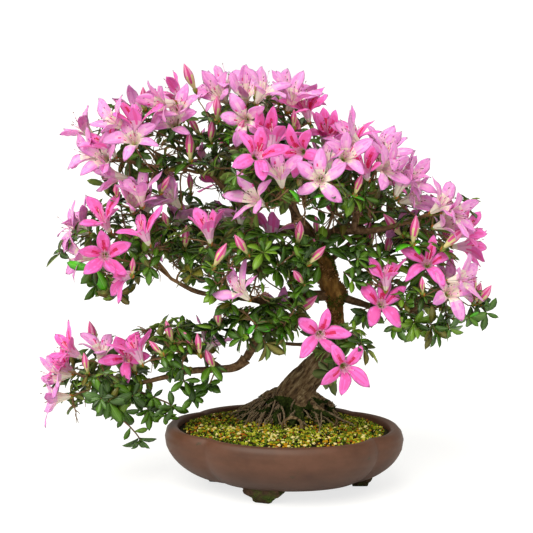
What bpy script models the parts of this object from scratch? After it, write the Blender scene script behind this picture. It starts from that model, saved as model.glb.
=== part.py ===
"""Azalea bonsai in bloom, in a four-lobed pot on cloud-shaped feet.

The pot and its soil carry one leaning trunk with surface roots. Boughs leave
the trunk and end where they enter a mass of foliage, and each mass is grown
from one stem by a seeded rule: twigs fork toward evenly spread shoot tips,
and every tip bears leaves and, on many, a bloom or a bud.

Units are metres, +Z is up and the origin is under the middle of the plant's
box, at the level that the feet stand on. +Y points to the back.
"""

import math
import random
from collections import namedtuple

import bmesh
import bpy
import numpy as np
from mathutils import Vector

MM = 0.001
GAP = 0.3 * MM
SEED = 41

# Pot
POT_CENTRE = (17.5, 0.0)
POT_HALF_WIDTH = 123.0 * MM
POT_HALF_DEPTH = 95.0 * MM
POT_TURN = math.radians(-9)
POT_NOTCHES = tuple(math.radians(a) for a in (53, 152, 233, 332))
POT_NOTCH_DEPTH = 0.07
POT_LOBE_STEPS = (8, 7, 8, 7)
FOOT_HEIGHT = 13 * MM
POT_OUTER = ((0.66, 13), (0.75, 15), (0.855, 22), (0.94, 32), (0.99, 43), (1.0, 52),
             (0.985, 59), (0.955, 63), (0.925, 64))
POT_INNER = ((0.895, 62.5), (0.885, 58), (0.875, 40), (0.78, 22), (0.66, 18))

# Soil
SOIL_FIT = 0.8 * MM
SOIL_RIM = 57 * MM
SOIL_TOP = 63 * MM
SOIL_PLATEAU = 0.64

# Feet: place of each foot's outer foot line, seen from the pot's centre
FOOT_PLACES = (("pot_foot_front", (-22, -62)), ("pot_foot_right", (86, 1)),
               ("pot_foot_left", (-75, 17)), ("pot_foot_back", (24, 60)))
FOOT_THICKNESS = 15 * MM
FOOT_WIDTH_TOP = 40 * MM
FOOT_WIDTH_BASE = 20 * MM

# Trunk: place of the centre line and radius, from below the cut up to the fork
TRUNK_LINE = (((22, 30, 56), 30), ((24, 30, 70), 27), ((27, 30, 84), 22), ((34, 28, 99), 17.5),
              ((44, 25, 111), 15.2), ((52, 21, 121), 13.6), ((60, 17, 133), 11.2),
              ((68, 13, 149), 9.2), ((72, 10, 165), 7.8), ((71, 6, 181), 7.4), ((68, 4, 197), 9.6),
              ((63, 3, 213), 10.4), ((58, 3, 230), 8.6), ((50, 4, 247), 7.2),
              ((40, 6, 261), 6.4), ((32, 8, 272), 5.4))
TRUNK_SIDES = 12
ROOT_SIDES = 5
# Surface roots: compass angle in degrees, reach from the trunk's foot, radius
SURFACE_ROOTS = ((174, 66, 5.0), (188, 62, 4.5), (204, 58, 4.5), (150, 56, 5.0), (236, 46, 5.0),
                 (262, 42, 7.0), (284, 42, 6.0), (301, 47, 6.5), (318, 60, 6.0), (348, 54, 6.0),
                 (18, 48, 5.5), (58, 40, 5.5), (98, 40, 5.5), (126, 46, 5.0))
ROOT_CROWN = (30, 29, 99)

# Boughs: parent limb, route, radius at the start and at the tip
Bough = namedtuple("Bough", "name parent route thick thin")
BOUGHS = (
    Bough("bough_low_left_fall", "trunk",
          ((68, 4, 199), (48, 0, 197), (30, -5, 194), (14, -9, 189), (0, -13, 179), (-8, -16, 165),
           (-14, -19, 150), (-21, -20, 137)), 5.6, 4.2),
    Bough("bough_low_left_run", "bough_low_left_fall",
          ((-22, -20, 135), (-30, -21, 129), (-45, -21, 126.5), (-63, -22, 126),
           (-82, -22, 124), (-101, -22, 119), (-119, -21, 114), (-134, -20, 110)), 4.2, 2.0),
    Bough("bough_low_left_spur", "bough_low_left_run",
          ((-45, -21, 126.5), (-52, -23, 133), (-60, -25, 139)), 2.4, 1.8),
    Bough("bough_left", "bough_low_left_fall",
          ((8, -11, 186), (-8, -18, 196), (-28, -23, 200), (-50, -26, 202), (-70, -28, 207),
           (-86, -29, 215)), 3.8, 2.0),
    Bough("bough_low_centre", "trunk", ((69, 14, 145), (50, 6, 147), (32, -2, 148), (17, -12, 151)),
          2.4, 1.7),
    Bough("bough_centre_front", "trunk", ((54, 3, 238), (33, -13, 242), (12, -28, 249)), 3.4, 2.0),
    Bough("bough_top_left", "trunk",
          ((41, 6, 259), (18, 2, 265), (-3, -2, 271), (-27, -4, 291), (-50, -5, 315)), 4.6, 2.2),
    Bough("bough_top", "trunk", ((32, 8, 272), (25, 11, 292), (12, 11, 318)), 5.2, 2.4),
    Bough("bough_top_front", "trunk", ((45, 5, 254), (40, -16, 266), (29, -38, 288)), 3.6, 2.0),
    Bough("bough_right", "trunk",
          ((47, 5, 251), (66, 3, 262), (87, 0, 264), (110, -3, 265), (133, -5, 271)), 4.8, 2.2),
    Bough("bough_right_up", "bough_right", ((87, 0, 264), (91, 2, 281), (93, 4, 296)), 3.2, 2.2),
    Bough("bough_right_low", "trunk", ((68, 4, 197), (90, 0, 192), (114, -5, 185), (130, -7, 182)),
          4.4, 2.2),
    Bough("bough_back", "trunk", ((49, 4, 249), (44, 28, 264), (20, 50, 288)), 3.8, 2.0),
    Bough("bough_back_left", "trunk", ((63, 3, 213), (44, 26, 217), (8, 46, 226), (-26, 58, 236)),
          3.8, 2.0),
    Bough("bough_back_right", "trunk", ((59, 3, 228), (76, 24, 240), (98, 44, 256)), 3.4, 2.0),
)
BOUGHS_ON_TIPS = ("bough_top", "bough_low_left_run")
BOUGH_SIDES = 6
BOUGH_RING_STEP = 11 * MM

# Masses: centre and half sizes, number of shoot tips, and the limb that carries the stem
Mass = namedtuple("Mass", "name centre reach tips foot")
MASSES = (
    Mass("mass_crown_top", (-12, 0, 376), (66, 58, 50), 11, "bough_top"),
    Mass("mass_crown_left", (-124, 0, 348), (76, 62, 62), 14, "bough_top_left"),
    Mass("mass_crown_right", (75, 0, 318), (63, 60, 58), 12, "bough_right_up"),
    Mass("mass_crown_front", (12, -72, 318), (74, 48, 56), 9, "bough_top_front"),
    Mass("mass_crown_back", (-6, 70, 322), (92, 50, 56), 11, "bough_back"),
    Mass("mass_far_right", (171, 0, 262), (51, 54, 49), 10, "bough_right"),
    Mass("mass_right_middle", (155, -5, 204), (74, 52, 49), 12, "bough_right_low"),
    Mass("mass_back_right", (118, 66, 270), (58, 50, 48), 8, "bough_back_right"),
    Mass("mass_centre_front", (-18, -52, 246), (78, 50, 58), 12, "bough_centre_front"),
    Mass("mass_left_middle", (-136, -8, 256), (80, 60, 54), 14, "bough_left"),
    Mass("mass_back_left", (-66, 70, 250), (68, 50, 44), 9, "bough_back_left"),
    Mass("mass_low_left_outer", (-174, -18, 112), (62, 50, 44), 10, "bough_low_left_run"),
    Mass("mass_low_left_inner", (-91, -22, 150), (58, 44, 33), 9, "bough_low_left_spur"),
    Mass("mass_low_centre", (-4, -46, 184), (54, 38, 31), 8, "bough_low_centre"),
    Mass("mass_trunk_spray", (70, -48, 154), (34, 30, 32), 5, "trunk"),
)
TRUNK_SPRAY_FOOT = ((72, 10, 161), (70, -8, 161))
TRUNK_SPRAY_STEM = 1.9 * MM
TRUNK_SPRAY_COLLAR = 24 * MM
COLLAR = 9 * MM
TIP_SHELL = 0.74
LOWER_HALF = 0.88
TIP_SPOTS = 90
UPWARD_LEAN = 0.45
OUTLINE_SPREAD = 0.55

# Blooms that are set by hand: place across and up, and the way the bloom faces.
# How far each stands to the front follows from its mass.
FACINGS = {"front": (0, -1, 0.25), "front_left": (-0.5, -0.85, 0.2), "front_right": (0.5, -0.85, 0.2),
           "left": (-0.9, -0.4, 0.2), "right": (0.9, -0.4, 0.2), "up": (0, -0.4, 0.9),
           "up_left": (-0.6, -0.4, 0.7), "up_right": (0.6, -0.4, 0.7), "away": (0.5, 0.7, 0.5)}
BLOOMS = {
    "mass_crown_top": ((-60, 403, "up_left"), (-41, 419, "up"), (-19, 380, "front"),
                       (0, 363, "front_right"), (0, 406, "up_right"), (25, 407, "up_right"),
                       (42, 391, "up")),
    "mass_crown_left": ((-95, 411, "up_left"), (-108, 397, "left"), (-128, 382, "up"),
                        (-150, 384, "up_left"), (-127, 354, "front"), (-90, 371, "front"),
                        (-166, 360, "left"), (-184, 340, "left"), (-121, 316, "up")),
    "mass_crown_right": ((62, 374, "up"), (87, 361, "up"), (74, 340, "front"),
                         (116, 332, "front_right"), (123, 348, "up_right"), (142, 322, "right")),
    "mass_crown_front": ((-12, 346, "front"), (36, 352, "front"), (-10, 302, "front_left"),
                         (51, 326, "front")),
    "mass_far_right": ((173, 298, "up_right"), (196, 289, "right"), (209, 262, "right"),
                       (219, 248, "right")),
    "mass_right_middle": ((114, 194, "front"), (161, 233, "front"), (118, 228, "up"),
                          (193, 222, "right"), (185, 205, "front_right")),
    "mass_centre_front": ((-54, 286, "up"), (-28, 220, "up_left")),
    "mass_left_middle": ((-126, 271, "up_left"), (-169, 282, "up_left"), (-159, 249, "front"),
                         (-148, 231, "left"), (-189, 244, "left")),
    "mass_low_left_outer": ((-140, 139, "front"), (-168, 150, "up"), (-213, 134, "up_left"),
                            (-215, 104, "left")),
    "mass_low_left_inner": ((-124, 156, "up"), (-52, 158, "up")),
    "mass_trunk_spray": ((52, 172, "front"), (74, 141, "front")),
}
REAR_BLOOM_SHARE = 0.45

# Twigs, leaves and blooms
FORK_AT = 0.5
TWIG_TIP = 1.0 * MM
TWIG_GROWTH = 0.42
TWIG_KNUCKLE = 2.2 * MM
LEAF_LENGTH = 41 * MM
LEAF_WIDTH = 18 * MM
LEAF_THICKNESS = 2.0 * MM
LEAF_SPREAD = math.radians(62)
LEAF_SINK = 2.0 * MM
LEAF_STEP = 0.5 * MM
LEAF_TRIES = 6
LEAF_TURN = 0.21
LEAF_BODY = 0.36
LEAF_FREE = 0.42
ROD_FREE = 0.3
LEAF_SHOULDER = 0.52
LEAF_RIDGE = 0.34
TIP_LEAVES = 3
BLOOM_TIP_LEAVES = 2
BLOOM_RADIUS = 28 * MM
BLOOM_DEPTH = 15 * MM
PETALS = 5
PETAL_RIM = ((-36, 0.30, 0.60), (-12, 0.88, 0.95), (12, 0.88, 0.95))
BLOOM_THROAT = 0.45
BLOOM_TUBE = 3 * MM
PETAL_BODY = 3.5 * MM
BLOOM_TURNS = 6
BLOOM_TURN = math.radians(12)
BUD_LENGTH = 22 * MM
BUD_WIDTH = 7 * MM
BUD_SHARE = 0.4
SPACING = 1.0 * MM
SPACE_MARGIN = 10 * MM

PLANT_COLLECTION = "azalea_bonsai"
COLOURS = {
    "pot_clay": ((0.145, 0.062, 0.042), 0.62), "soil_mix": ((0.150, 0.155, 0.040), 0.95),
    "trunk_bark": ((0.120, 0.085, 0.055), 0.85), "bough_bark": ((0.095, 0.060, 0.040), 0.85),
    "blooming_foliage": ((0.060, 0.150, 0.030), 0.55),
}

Shoot = namedtuple("Shoot", "place aim kind")
Twig = namedtuple("Twig", "line radii tip")


def mm(point):
    return Vector(point) * MM


def new_collection(name):
    collection = bpy.data.collections.new(name)
    bpy.context.scene.collection.children.link(collection)
    return collection


def material(name):
    """One Principled BSDF material for each kind of surface."""
    found = bpy.data.materials.get(name)
    if found:
        return found
    colour, roughness = COLOURS[name]
    made = bpy.data.materials.new(name)
    made.use_nodes = True
    shader = made.node_tree.nodes["Principled BSDF"]
    shader.inputs["Base Color"].default_value = (*colour, 1.0)
    shader.inputs["Roughness"].default_value = roughness
    shader.inputs["Metallic"].default_value = 0.0
    made.diffuse_color = (*colour, 1.0)
    return made


def add_object(name, bm, collection, material_name):
    """An object from a bmesh, with its faces turned out."""
    bmesh.ops.recalc_face_normals(bm, faces=bm.faces)
    mesh = bpy.data.meshes.new(name)
    bm.to_mesh(mesh)
    bm.free()
    mesh.materials.append(material(material_name))
    made = bpy.data.objects.new(name, mesh)
    collection.objects.link(made)
    return made


def remove_object(unwanted):
    mesh = unwanted.data
    bpy.data.objects.remove(unwanted)
    bpy.data.meshes.remove(mesh)


def apply_boolean(subject, operation, operand=None, collection=None, solver="EXACT"):
    """Cut or join a mesh with one object or with all of a collection, and keep the result."""
    modifier = subject.modifiers.new(operation.lower(), "BOOLEAN")
    modifier.operation = operation
    modifier.solver = solver
    if collection:
        modifier.operand_type = "COLLECTION"
        modifier.collection = collection
    else:
        modifier.object = operand
    bpy.context.view_layer.update()
    evaluated = subject.evaluated_get(bpy.context.evaluated_depsgraph_get())
    joined = bpy.data.meshes.new_from_object(evaluated)
    subject.modifiers.clear()
    old = subject.data
    subject.data = joined
    bpy.data.meshes.remove(old)
    joined.name = subject.name


def keep_outer_shell(subject):
    """Keep the largest closed body, so that loose scraps and sealed hollows go."""
    bm = bmesh.new()
    bm.from_mesh(subject.data)
    bmesh.ops.triangulate(bm, faces=bm.faces)
    unseen = set(bm.faces)
    shells = []
    while unseen:
        shell = [unseen.pop()]
        for face in shell:
            for edge in face.edges:
                for other in edge.link_faces:
                    if other in unseen:
                        unseen.remove(other)
                        shell.append(other)
        shells.append(shell)
    volumes = [sum(f.verts[0].co.dot(f.verts[1].co.cross(f.verts[2].co)) for f in s) for s in shells]
    outer = volumes.index(max(volumes))
    scraps = [f for i, shell in enumerate(shells) if i != outer for f in shell]
    bmesh.ops.delete(bm, geom=scraps, context="FACES")
    bmesh.ops.delete(bm, geom=[v for v in bm.verts if not v.link_faces], context="VERTS")
    bm.to_mesh(subject.data)
    bm.free()


# Limbs ---------------------------------------------------------------------

def smooth_line(points, values, step):
    """Points and radii along a Catmull-Rom curve, about one step apart."""
    line = []
    widths = []
    last = len(points) - 1
    for i in range(last):
        before = points[max(i - 1, 0)]
        start, end = points[i], points[i + 1]
        after = points[min(i + 2, last)]
        pieces = max(1, round((end - start).length / step))
        for k in range(pieces):
            t = k / pieces
            line.append(0.5 * (2 * start + (end - before) * t
                               + (2 * before - 5 * start + 4 * end - after) * t ** 2
                               + (3 * start - before - 3 * end + after) * t ** 3))
            widths.append(values[i] + (values[i + 1] - values[i]) * t)
    return line + [points[-1]], widths + [values[-1]]


def sweep(bm, line, radii, sides, grow=0.0):
    """A tapering tube with flat ends: one ring of corners at each point of the line."""
    rings = []
    across = None
    for i, (centre, radius) in enumerate(zip(line, radii)):
        ahead = (line[min(i + 1, len(line) - 1)] - line[max(i - 1, 0)]).normalized()
        if across is None:
            across = ahead.orthogonal().normalized()
        across = (across - ahead * across.dot(ahead)).normalized()
        up = ahead.cross(across)
        turns = (2 * math.pi * k / sides for k in range(sides))
        rings.append([bm.verts.new(centre + (across * math.cos(a) + up * math.sin(a)) * (radius + grow))
                      for a in turns])
    for low, high in zip(rings, rings[1:]):
        for k in range(sides):
            bm.faces.new((low[k - 1], low[k], high[k], high[k - 1]))
    bm.faces.new(list(reversed(rings[0])))
    bm.faces.new(rings[-1])


def limb(name, line, radii, sides, collection, material_name, grow=0.0):
    bm = bmesh.new()
    sweep(bm, line, radii, sides, grow)
    return add_object(name, bm, collection, material_name)


def trunk_line():
    return smooth_line([mm(p) for p, r in TRUNK_LINE], [r * MM for p, r in TRUNK_LINE], 14 * MM)


def limb_line(name):
    if name == "trunk":
        return trunk_line()
    return bough_line(next(b for b in BOUGHS if b.name == name))


def tip_and_way(name):
    """End of a limb, the way it points there and its radius."""
    line, radii = limb_line(name)
    return line[-1], (line[-1] - line[-2]).normalized(), radii[-1]


def bough_line(bough):
    points = [mm(p) for p in bough.route]
    if bough.name in BOUGHS_ON_TIPS:
        tip, way, radius = tip_and_way(bough.parent)
        points[:1] = [tip + way * GAP, tip + way * 3 * MM]
    lengths = [0.0]
    for a, b in zip(points, points[1:]):
        lengths.append(lengths[-1] + (b - a).length)
    radii = [(bough.thick + (bough.thin - bough.thick) * s / lengths[-1]) * MM for s in lengths]
    return smooth_line(points, radii, BOUGH_RING_STEP)


def surface_root_line(angle, reach, radius, rng):
    """A root that leaves the trunk's crown, runs out and dips under the soil."""
    heading = Vector((math.cos(angle), math.sin(angle), 0))
    aside = Vector((-heading.y, heading.x, 0))
    crown = mm(ROOT_CROWN)
    line = []
    for share, height in ((0.0, 1.0), (0.30, 0.78), (0.58, 0.44), (0.82, 0.18), (1.0, -0.16)):
        wander = aside * rng.uniform(-0.05, 0.05) * reach * math.sin(math.pi * share)
        level = SOIL_TOP + (crown.z - SOIL_TOP) * height
        place = Vector((crown.x, crown.y, 0)) + heading * reach * share + wander
        line.append(Vector((place.x, place.y, level)))
    radii = [radius * 1.7, radius * 1.25, radius, radius * 0.72, radius * 0.42]
    return smooth_line(line, radii, 26 * MM)


def add_trunk(collection):
    """The leaning trunk, fused with its surface roots and cut flat just above the soil."""
    line, radii = trunk_line()
    trunk = limb("trunk", line, radii, TRUNK_SIDES, collection, "trunk_bark")
    rng = random.Random(SEED)
    roots = new_collection("surface_roots")
    for angle, reach, radius in SURFACE_ROOTS:
        root_line, root_radii = surface_root_line(math.radians(angle), reach * MM, radius * MM, rng)
        limb("surface_root", root_line, root_radii, ROOT_SIDES, roots, "trunk_bark")
    apply_boolean(trunk, "UNION", collection=roots, solver="MANIFOLD")
    empty_collection(roots)
    below = bmesh.new()
    bmesh.ops.create_cube(below, size=1.0)
    ground = add_object("below_soil", below, collection, "soil_mix")
    ground.dimensions = (0.5, 0.5, 0.1)
    ground.location.z = SOIL_TOP + GAP - 0.05
    apply_boolean(trunk, "DIFFERENCE", operand=ground, solver="MANIFOLD")
    remove_object(ground)
    keep_outer_shell(trunk)
    return trunk


def empty_collection(collection):
    for member in list(collection.objects):
        remove_object(member)
    bpy.data.collections.remove(collection)


def limb_copy(name, cutters):
    """A limb's own shape, grown by the gap that its neighbours keep to it."""
    line, radii = limb_line(name)
    sides = TRUNK_SIDES if name == "trunk" else BOUGH_SIDES
    return limb("cutter_" + name, line, radii, sides, cutters, "bough_bark", GAP)


def cut_clear(subject, parent, cutters):
    """Seat a limb on its parent with the gap between them."""
    cutter = limb_copy(parent, cutters)
    cutter.hide_render = True
    cutter.display_type = "WIRE"
    apply_boolean(subject, "DIFFERENCE", operand=cutter)
    remove_object(cutter)
    keep_outer_shell(subject)


def add_boughs(collection, cutters):
    for bough in BOUGHS:
        line, radii = bough_line(bough)
        made = limb(bough.name, line, radii, BOUGH_SIDES, collection, "bough_bark")
        if bough.name not in BOUGHS_ON_TIPS:
            cut_clear(made, bough.parent, cutters)


# Foliage masses --------------------------------------------------------------

class Claims:
    """Rounded rods that stand for every limb, twig, leaf and bloom made so far."""

    def __init__(self):
        self.rods = []

    def add(self, owner, rods):
        self.rods += [(owner, *rod) for rod in rods]

    def others(self, owner):
        """A table of every rod that belongs to something else."""
        return rods_table([rod[1:] for rod in self.rods if rod[0] != owner])


def rods_table(rods):
    """Starts, ends and radii of some rods, ready for rod_distances."""
    starts, ends, radii = zip(*rods)
    return np.array([tuple(p) for p in starts]), np.array([tuple(p) for p in ends]), np.array(radii)


def rod_distances(start, end, starts, ends):
    """Shortest distance from one segment to each of many."""
    d1 = np.array(end) - np.array(start)
    d2 = ends - starts
    r = np.array(start) - starts
    a = max(float(d1 @ d1), 1e-12)
    e = np.maximum((d2 * d2).sum(axis=1), 1e-12)
    b = d2 @ d1
    c = r @ d1
    f = (d2 * r).sum(axis=1)
    denominator = np.maximum(a * e - b * b, 1e-18)
    s = np.clip((b * f - c * e) / denominator, 0, 1)
    t = np.clip((b * s + f) / e, 0, 1)
    s = np.clip((b * t - c) / a, 0, 1)
    apart = r + s[:, None] * d1 - t[:, None] * d2
    return np.sqrt((apart * apart).sum(axis=1))


def is_clear(rods, obstacles):
    starts, ends, radii = obstacles
    for start, end, radius in rods:
        if (rod_distances(start, end, starts, ends) < radii + radius + SPACING).any():
            return False
    return True


def home_mass(point):
    """The mass whose space a point lies in: the one it is deepest in."""
    def depth(mass):
        offset = point - mm(mass.centre)
        return sum((offset[i] / (mass.reach[i] * MM)) ** 2 for i in range(3))
    return min(MASSES, key=depth)


def in_space(mass, point):
    """Whether a point keeps to a mass's own space, with a margin past its half sizes."""
    offset = point - mm(mass.centre)
    return sum((offset[i] / (mass.reach[i] * MM + SPACE_MARGIN)) ** 2 for i in range(3)) < 1


def bloom_place(mass, x, z):
    """Where a bloom stands: on the front of its mass, or to and fro along the mass's outline."""
    centre, reach = mm(mass.centre), mm(mass.reach)
    across = ((x * MM - centre.x) / reach.x) ** 2 + ((z * MM - centre.z) / reach.z) ** 2
    forward = math.sqrt(max(0.0, TIP_SHELL - across))
    spread = OUTLINE_SPREAD * (1 - forward) * math.sin(x + 2 * z)
    return Vector((x * MM, centre.y - reach.y * (forward + spread), z * MM))


def shoot_tips(mass, rng):
    """The tips that bear set blooms, and others spread evenly over the mass's outer layer."""
    centre, reach = mm(mass.centre), mm(mass.reach)
    tips = []
    for x, z, facing in BLOOMS.get(mass.name, ()):
        place = bloom_place(mass, x, z)
        aim = Vector(FACINGS[facing]).normalized()
        tips.append(Shoot(place - aim * BLOOM_DEPTH, aim, "bloom"))
    spots = []
    golden = math.pi * (3 - math.sqrt(5))
    for k in range(TIP_SPOTS):
        height = 1 - 2 * (k + 0.5) / TIP_SPOTS
        ring = math.sqrt(1 - height * height)
        way = Vector((ring * math.cos(golden * k), ring * math.sin(golden * k), height))
        share = TIP_SHELL * (LOWER_HALF if height < 0 else 1.0) * rng.uniform(0.88, 1.0)
        place = centre + Vector([way[i] * reach[i] * share for i in range(3)])
        if home_mass(place) is mass:
            spots.append((place, way))
    while len(tips) < mass.tips and spots:
        if tips:
            spot = max(spots, key=lambda s: min((s[0] - tip.place).length for tip in tips))
        else:
            spot = spots[0]
        spots.remove(spot)
        place, way = spot
        aim = (way + Vector((0, 0, UPWARD_LEAN))).normalized()
        rear = way.y > 0.1 and way.z > -0.3
        kind = "bloom" if rear and rng.random() < REAR_BLOOM_SHARE else "leaves"
        tips.append(Shoot(place - (aim * BLOOM_DEPTH if kind == "bloom" else Vector()), aim, kind))
    return tips


def thirds(tips):
    """Up to three groups of tips, split across the way in which they spread most."""
    places = np.array([tuple(tip.place) for tip in tips])
    spread = places - places.mean(axis=0)
    way = np.linalg.svd(spread, full_matrices=False)[2][0]
    order = sorted(range(len(tips)), key=lambda i: float(spread[i] @ way))
    cuts = [round(len(tips) * k / 3) for k in range(4)]
    groups = [[tips[i] for i in order[low:high]] for low, high in zip(cuts, cuts[1:])]
    return sorted((group for group in groups if group), key=len)


def fork(start, tips, trail, twigs):
    """Grow on from a fork: the fullest group goes on as the same twig, the others leave it."""
    trail = trail + [(start, len(tips))]
    groups = thirds(tips)
    for group in groups:
        behind = trail if group is groups[-1] else [(start, len(group))]
        if len(group) == 1:
            twigs.append((behind + [(group[0].place, 1)], group[0]))
        else:
            middle = sum((tip.place for tip in group), Vector()) / len(group)
            fork(start.lerp(middle, FORK_AT), group, behind, twigs)


def stem_foot(mass):
    """Start of a mass's stem and the way it sets out."""
    if mass.foot == "trunk":
        start, toward = (mm(p) for p in TRUNK_SPRAY_FOOT)
        return start, (toward - start).normalized(), TRUNK_SPRAY_STEM
    tip, way, radius = tip_and_way(mass.foot)
    return tip + way * GAP, way, radius


def grow_twigs(mass, tips):
    """All twigs of a mass, each as thick as the number of tips that it bears asks for."""
    foot, way, stem_radius = stem_foot(mass)
    collar = foot + way * (TRUNK_SPRAY_COLLAR if mass.foot == "trunk" else COLLAR)
    found = []
    fork(collar, tips, [(foot, len(tips))], found)
    twigs = []
    for trail, tip in found:
        line = [point for point, load in trail]
        radii = [max(stem_radius * (load / len(tips)) ** TWIG_GROWTH, TWIG_TIP) for point, load in trail]
        radii[-1] = TWIG_KNUCKLE
        twigs.append(Twig(line, radii, tip))
    return twigs


def twig_rods(line, radii, is_stem):
    pairs = list(zip(line, line[1:], radii))
    return pairs[1:] if is_stem else pairs


def leaf_shape(bm, root, way, face, length, width, thickness):
    """A leaf of eight faces: root, tip, two sides, and a ridge above and below."""
    side = way.cross(face).normalized()
    top = side.cross(way).normalized()
    corners = {
        "root": root, "tip": root + way * length,
        "left": root + way * length * LEAF_SHOULDER + side * width / 2,
        "right": root + way * length * LEAF_SHOULDER - side * width / 2,
        "above": root + way * length * LEAF_RIDGE + top * thickness / 2,
        "below": root + way * length * LEAF_RIDGE - top * thickness / 2,
    }
    v = {key: bm.verts.new(place) for key, place in corners.items()}
    for end in ("root", "tip"):
        for flank, other in (("left", "above"), ("above", "right"), ("right", "below"), ("below", "left")):
            bm.faces.new((v[end], v[flank], v[other]))


def bloom_shape(bm, base, aim, roll):
    """A star of five petals over a funnel: a scalloped rim joined to a throat and to a tube."""
    across = aim.orthogonal().normalized()
    up = aim.cross(across)
    rim = []
    for petal in range(PETALS):
        for turn, share, lift in PETAL_RIM:
            a = roll + math.radians(petal * 360 / PETALS + turn)
            out = (across * math.cos(a) + up * math.sin(a)) * BLOOM_RADIUS * share
            rim.append(bm.verts.new(base + out + aim * BLOOM_DEPTH * lift))
    throat = bm.verts.new(base + aim * BLOOM_DEPTH * BLOOM_THROAT)
    tube = bm.verts.new(base - aim * BLOOM_TUBE)
    for k in range(len(rim)):
        bm.faces.new((rim[k - 1], rim[k], throat))
        bm.faces.new((rim[k], rim[k - 1], tube))


def bloom_rods(base, aim, roll):
    across = aim.orthogonal().normalized()
    up = aim.cross(across)
    rods = []
    for petal in range(PETALS):
        a = roll + petal * 2 * math.pi / PETALS
        out = (across * math.cos(a) + up * math.sin(a)) * BLOOM_RADIUS
        rods.append((base, base + out + aim * BLOOM_DEPTH * 0.85, PETAL_BODY))
    return rods


def outer_rod(rod, share):
    """The far part of a rod, past the place where neighbours on one twig may meet."""
    start, end, radius = rod
    return start.lerp(end, share), end, radius


def tip_axes(tip):
    across = tip.aim.orthogonal().normalized()
    return across, tip.aim.cross(across)


def bloom_turn(tip, roll, filled):
    """The roll at which a bloom's petals pass between those of its neighbours, if there is one."""
    for attempt in range(BLOOM_TURNS):
        turned = roll + BLOOM_TURN * attempt
        rods = bloom_rods(tip.place, tip.aim, turned)
        if not filled or is_clear([outer_rod(rod, ROD_FREE) for rod in rods], rods_table(filled)):
            break
    return turned, rods


def sunk_root(twig, depth):
    """A place inside a twig, back from its end."""
    end, before = twig.line[-1], twig.line[-2]
    return end + (before - end).normalized() * depth


def add_blooms(twigs, rng, obstacles, pieces):
    """A bloom at each tip that bears one, and a bud on some of the others; returns their rods."""
    filled = []
    for twig in twigs:
        tip = twig.tip
        bm = bmesh.new()
        if tip.kind == "bloom":
            roll, rods = bloom_turn(tip, rng.uniform(0, 2 * math.pi), filled)
            bloom_shape(bm, tip.place, tip.aim, roll)
        elif rng.random() < BUD_SHARE:
            root = sunk_root(twig, LEAF_SINK)
            rods = [(root, root + tip.aim * BUD_LENGTH, BUD_WIDTH / 2)]
            leaf_shape(bm, root, tip.aim, tip.aim.orthogonal(), BUD_LENGTH, BUD_WIDTH, BUD_WIDTH)
        else:
            rods = []
        if rods and is_clear(rods, obstacles):
            add_object("blossom", bm, pieces, "blooming_foliage")
            filled += rods
        else:
            bm.free()
    return filled


def leaf_way(tip, turn, spread):
    """Direction of a leaf that stands off its twig's tip."""
    across, up = tip_axes(tip)
    return tip.aim * math.cos(spread) + (across * math.cos(turn) + up * math.sin(turn)) * math.sin(spread)


def add_leaves(mass, twigs, rng, obstacles, own, pieces):
    """A whorl of leaves at each tip, each turned to where it is clear, or left out."""
    filled = []
    for twig in twigs:
        tip = twig.tip
        count = BLOOM_TIP_LEAVES if tip.kind == "bloom" else TIP_LEAVES
        roll = rng.uniform(0, 2 * math.pi)
        for k in range(count):
            for attempt in range(LEAF_TRIES):
                turn = roll + 2 * math.pi * (k + LEAF_TURN * attempt) / count
                way = leaf_way(tip, turn, LEAF_SPREAD * rng.uniform(0.8, 1.3))
                length = LEAF_LENGTH * rng.uniform(0.85, 1.08)
                root = sunk_root(twig, LEAF_SINK + k * LEAF_STEP)
                rod = (root, root + way * length, LEAF_WIDTH * LEAF_BODY)
                if not in_space(mass, rod[1]) or not is_clear([rod], obstacles):
                    continue
                if own and not is_clear([outer_rod(rod, LEAF_FREE)], rods_table(own)):
                    continue
                bm = bmesh.new()
                leaf_shape(bm, root, way, tip.aim, length, LEAF_WIDTH, LEAF_THICKNESS)
                add_object("leaf", bm, pieces, "blooming_foliage")
                filled.append(rod)
                own.append(outer_rod(rod, ROD_FREE))
                break
    return filled


def settle_twigs(mass, tips, obstacles):
    """Grow the twigs, leaving out each tip whose twig would touch a neighbour."""
    foot, way, radius = stem_foot(mass)
    while True:
        twigs = grow_twigs(mass, tips)
        blocked = []
        for line, radii, tip in twigs:
            is_stem = (line[0] - foot).length < 1e-6
            if not is_clear(twig_rods(line, radii, is_stem), obstacles):
                blocked.append(tip)
        if not blocked or len(tips) - len(blocked) < 3:
            return twigs
        tips = [tip for tip in tips if tip is not blocked[0]]


def add_mass(mass, claims, collection, cutters):
    rng = random.Random(f"{SEED} {mass.name}")
    obstacles = claims.others(mass.name)
    twigs = settle_twigs(mass, shoot_tips(mass, rng), obstacles)
    foot, way, radius = stem_foot(mass)
    pieces = new_collection(mass.name + "_pieces")
    stem = None
    filled = []
    for line, radii, tip in twigs:
        is_stem = (line[0] - foot).length < 1e-6
        made = limb("twig", line, radii, 3, collection if is_stem else pieces, "blooming_foliage")
        filled += list(zip(line, line[1:], radii))
        if is_stem:
            stem = made
    filled += add_blooms(twigs, rng, obstacles, pieces)
    own = [outer_rod(rod, ROD_FREE) for rod in filled]
    filled += add_leaves(mass, twigs, rng, obstacles, own, pieces)
    stem.name = mass.name
    apply_boolean(stem, "UNION", collection=pieces, solver="MANIFOLD")
    empty_collection(pieces)
    keep_outer_shell(stem)
    if mass.foot == "trunk":
        cut_clear(stem, "trunk", cutters)
    claims.add(mass.name, filled)
    return stem


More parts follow.
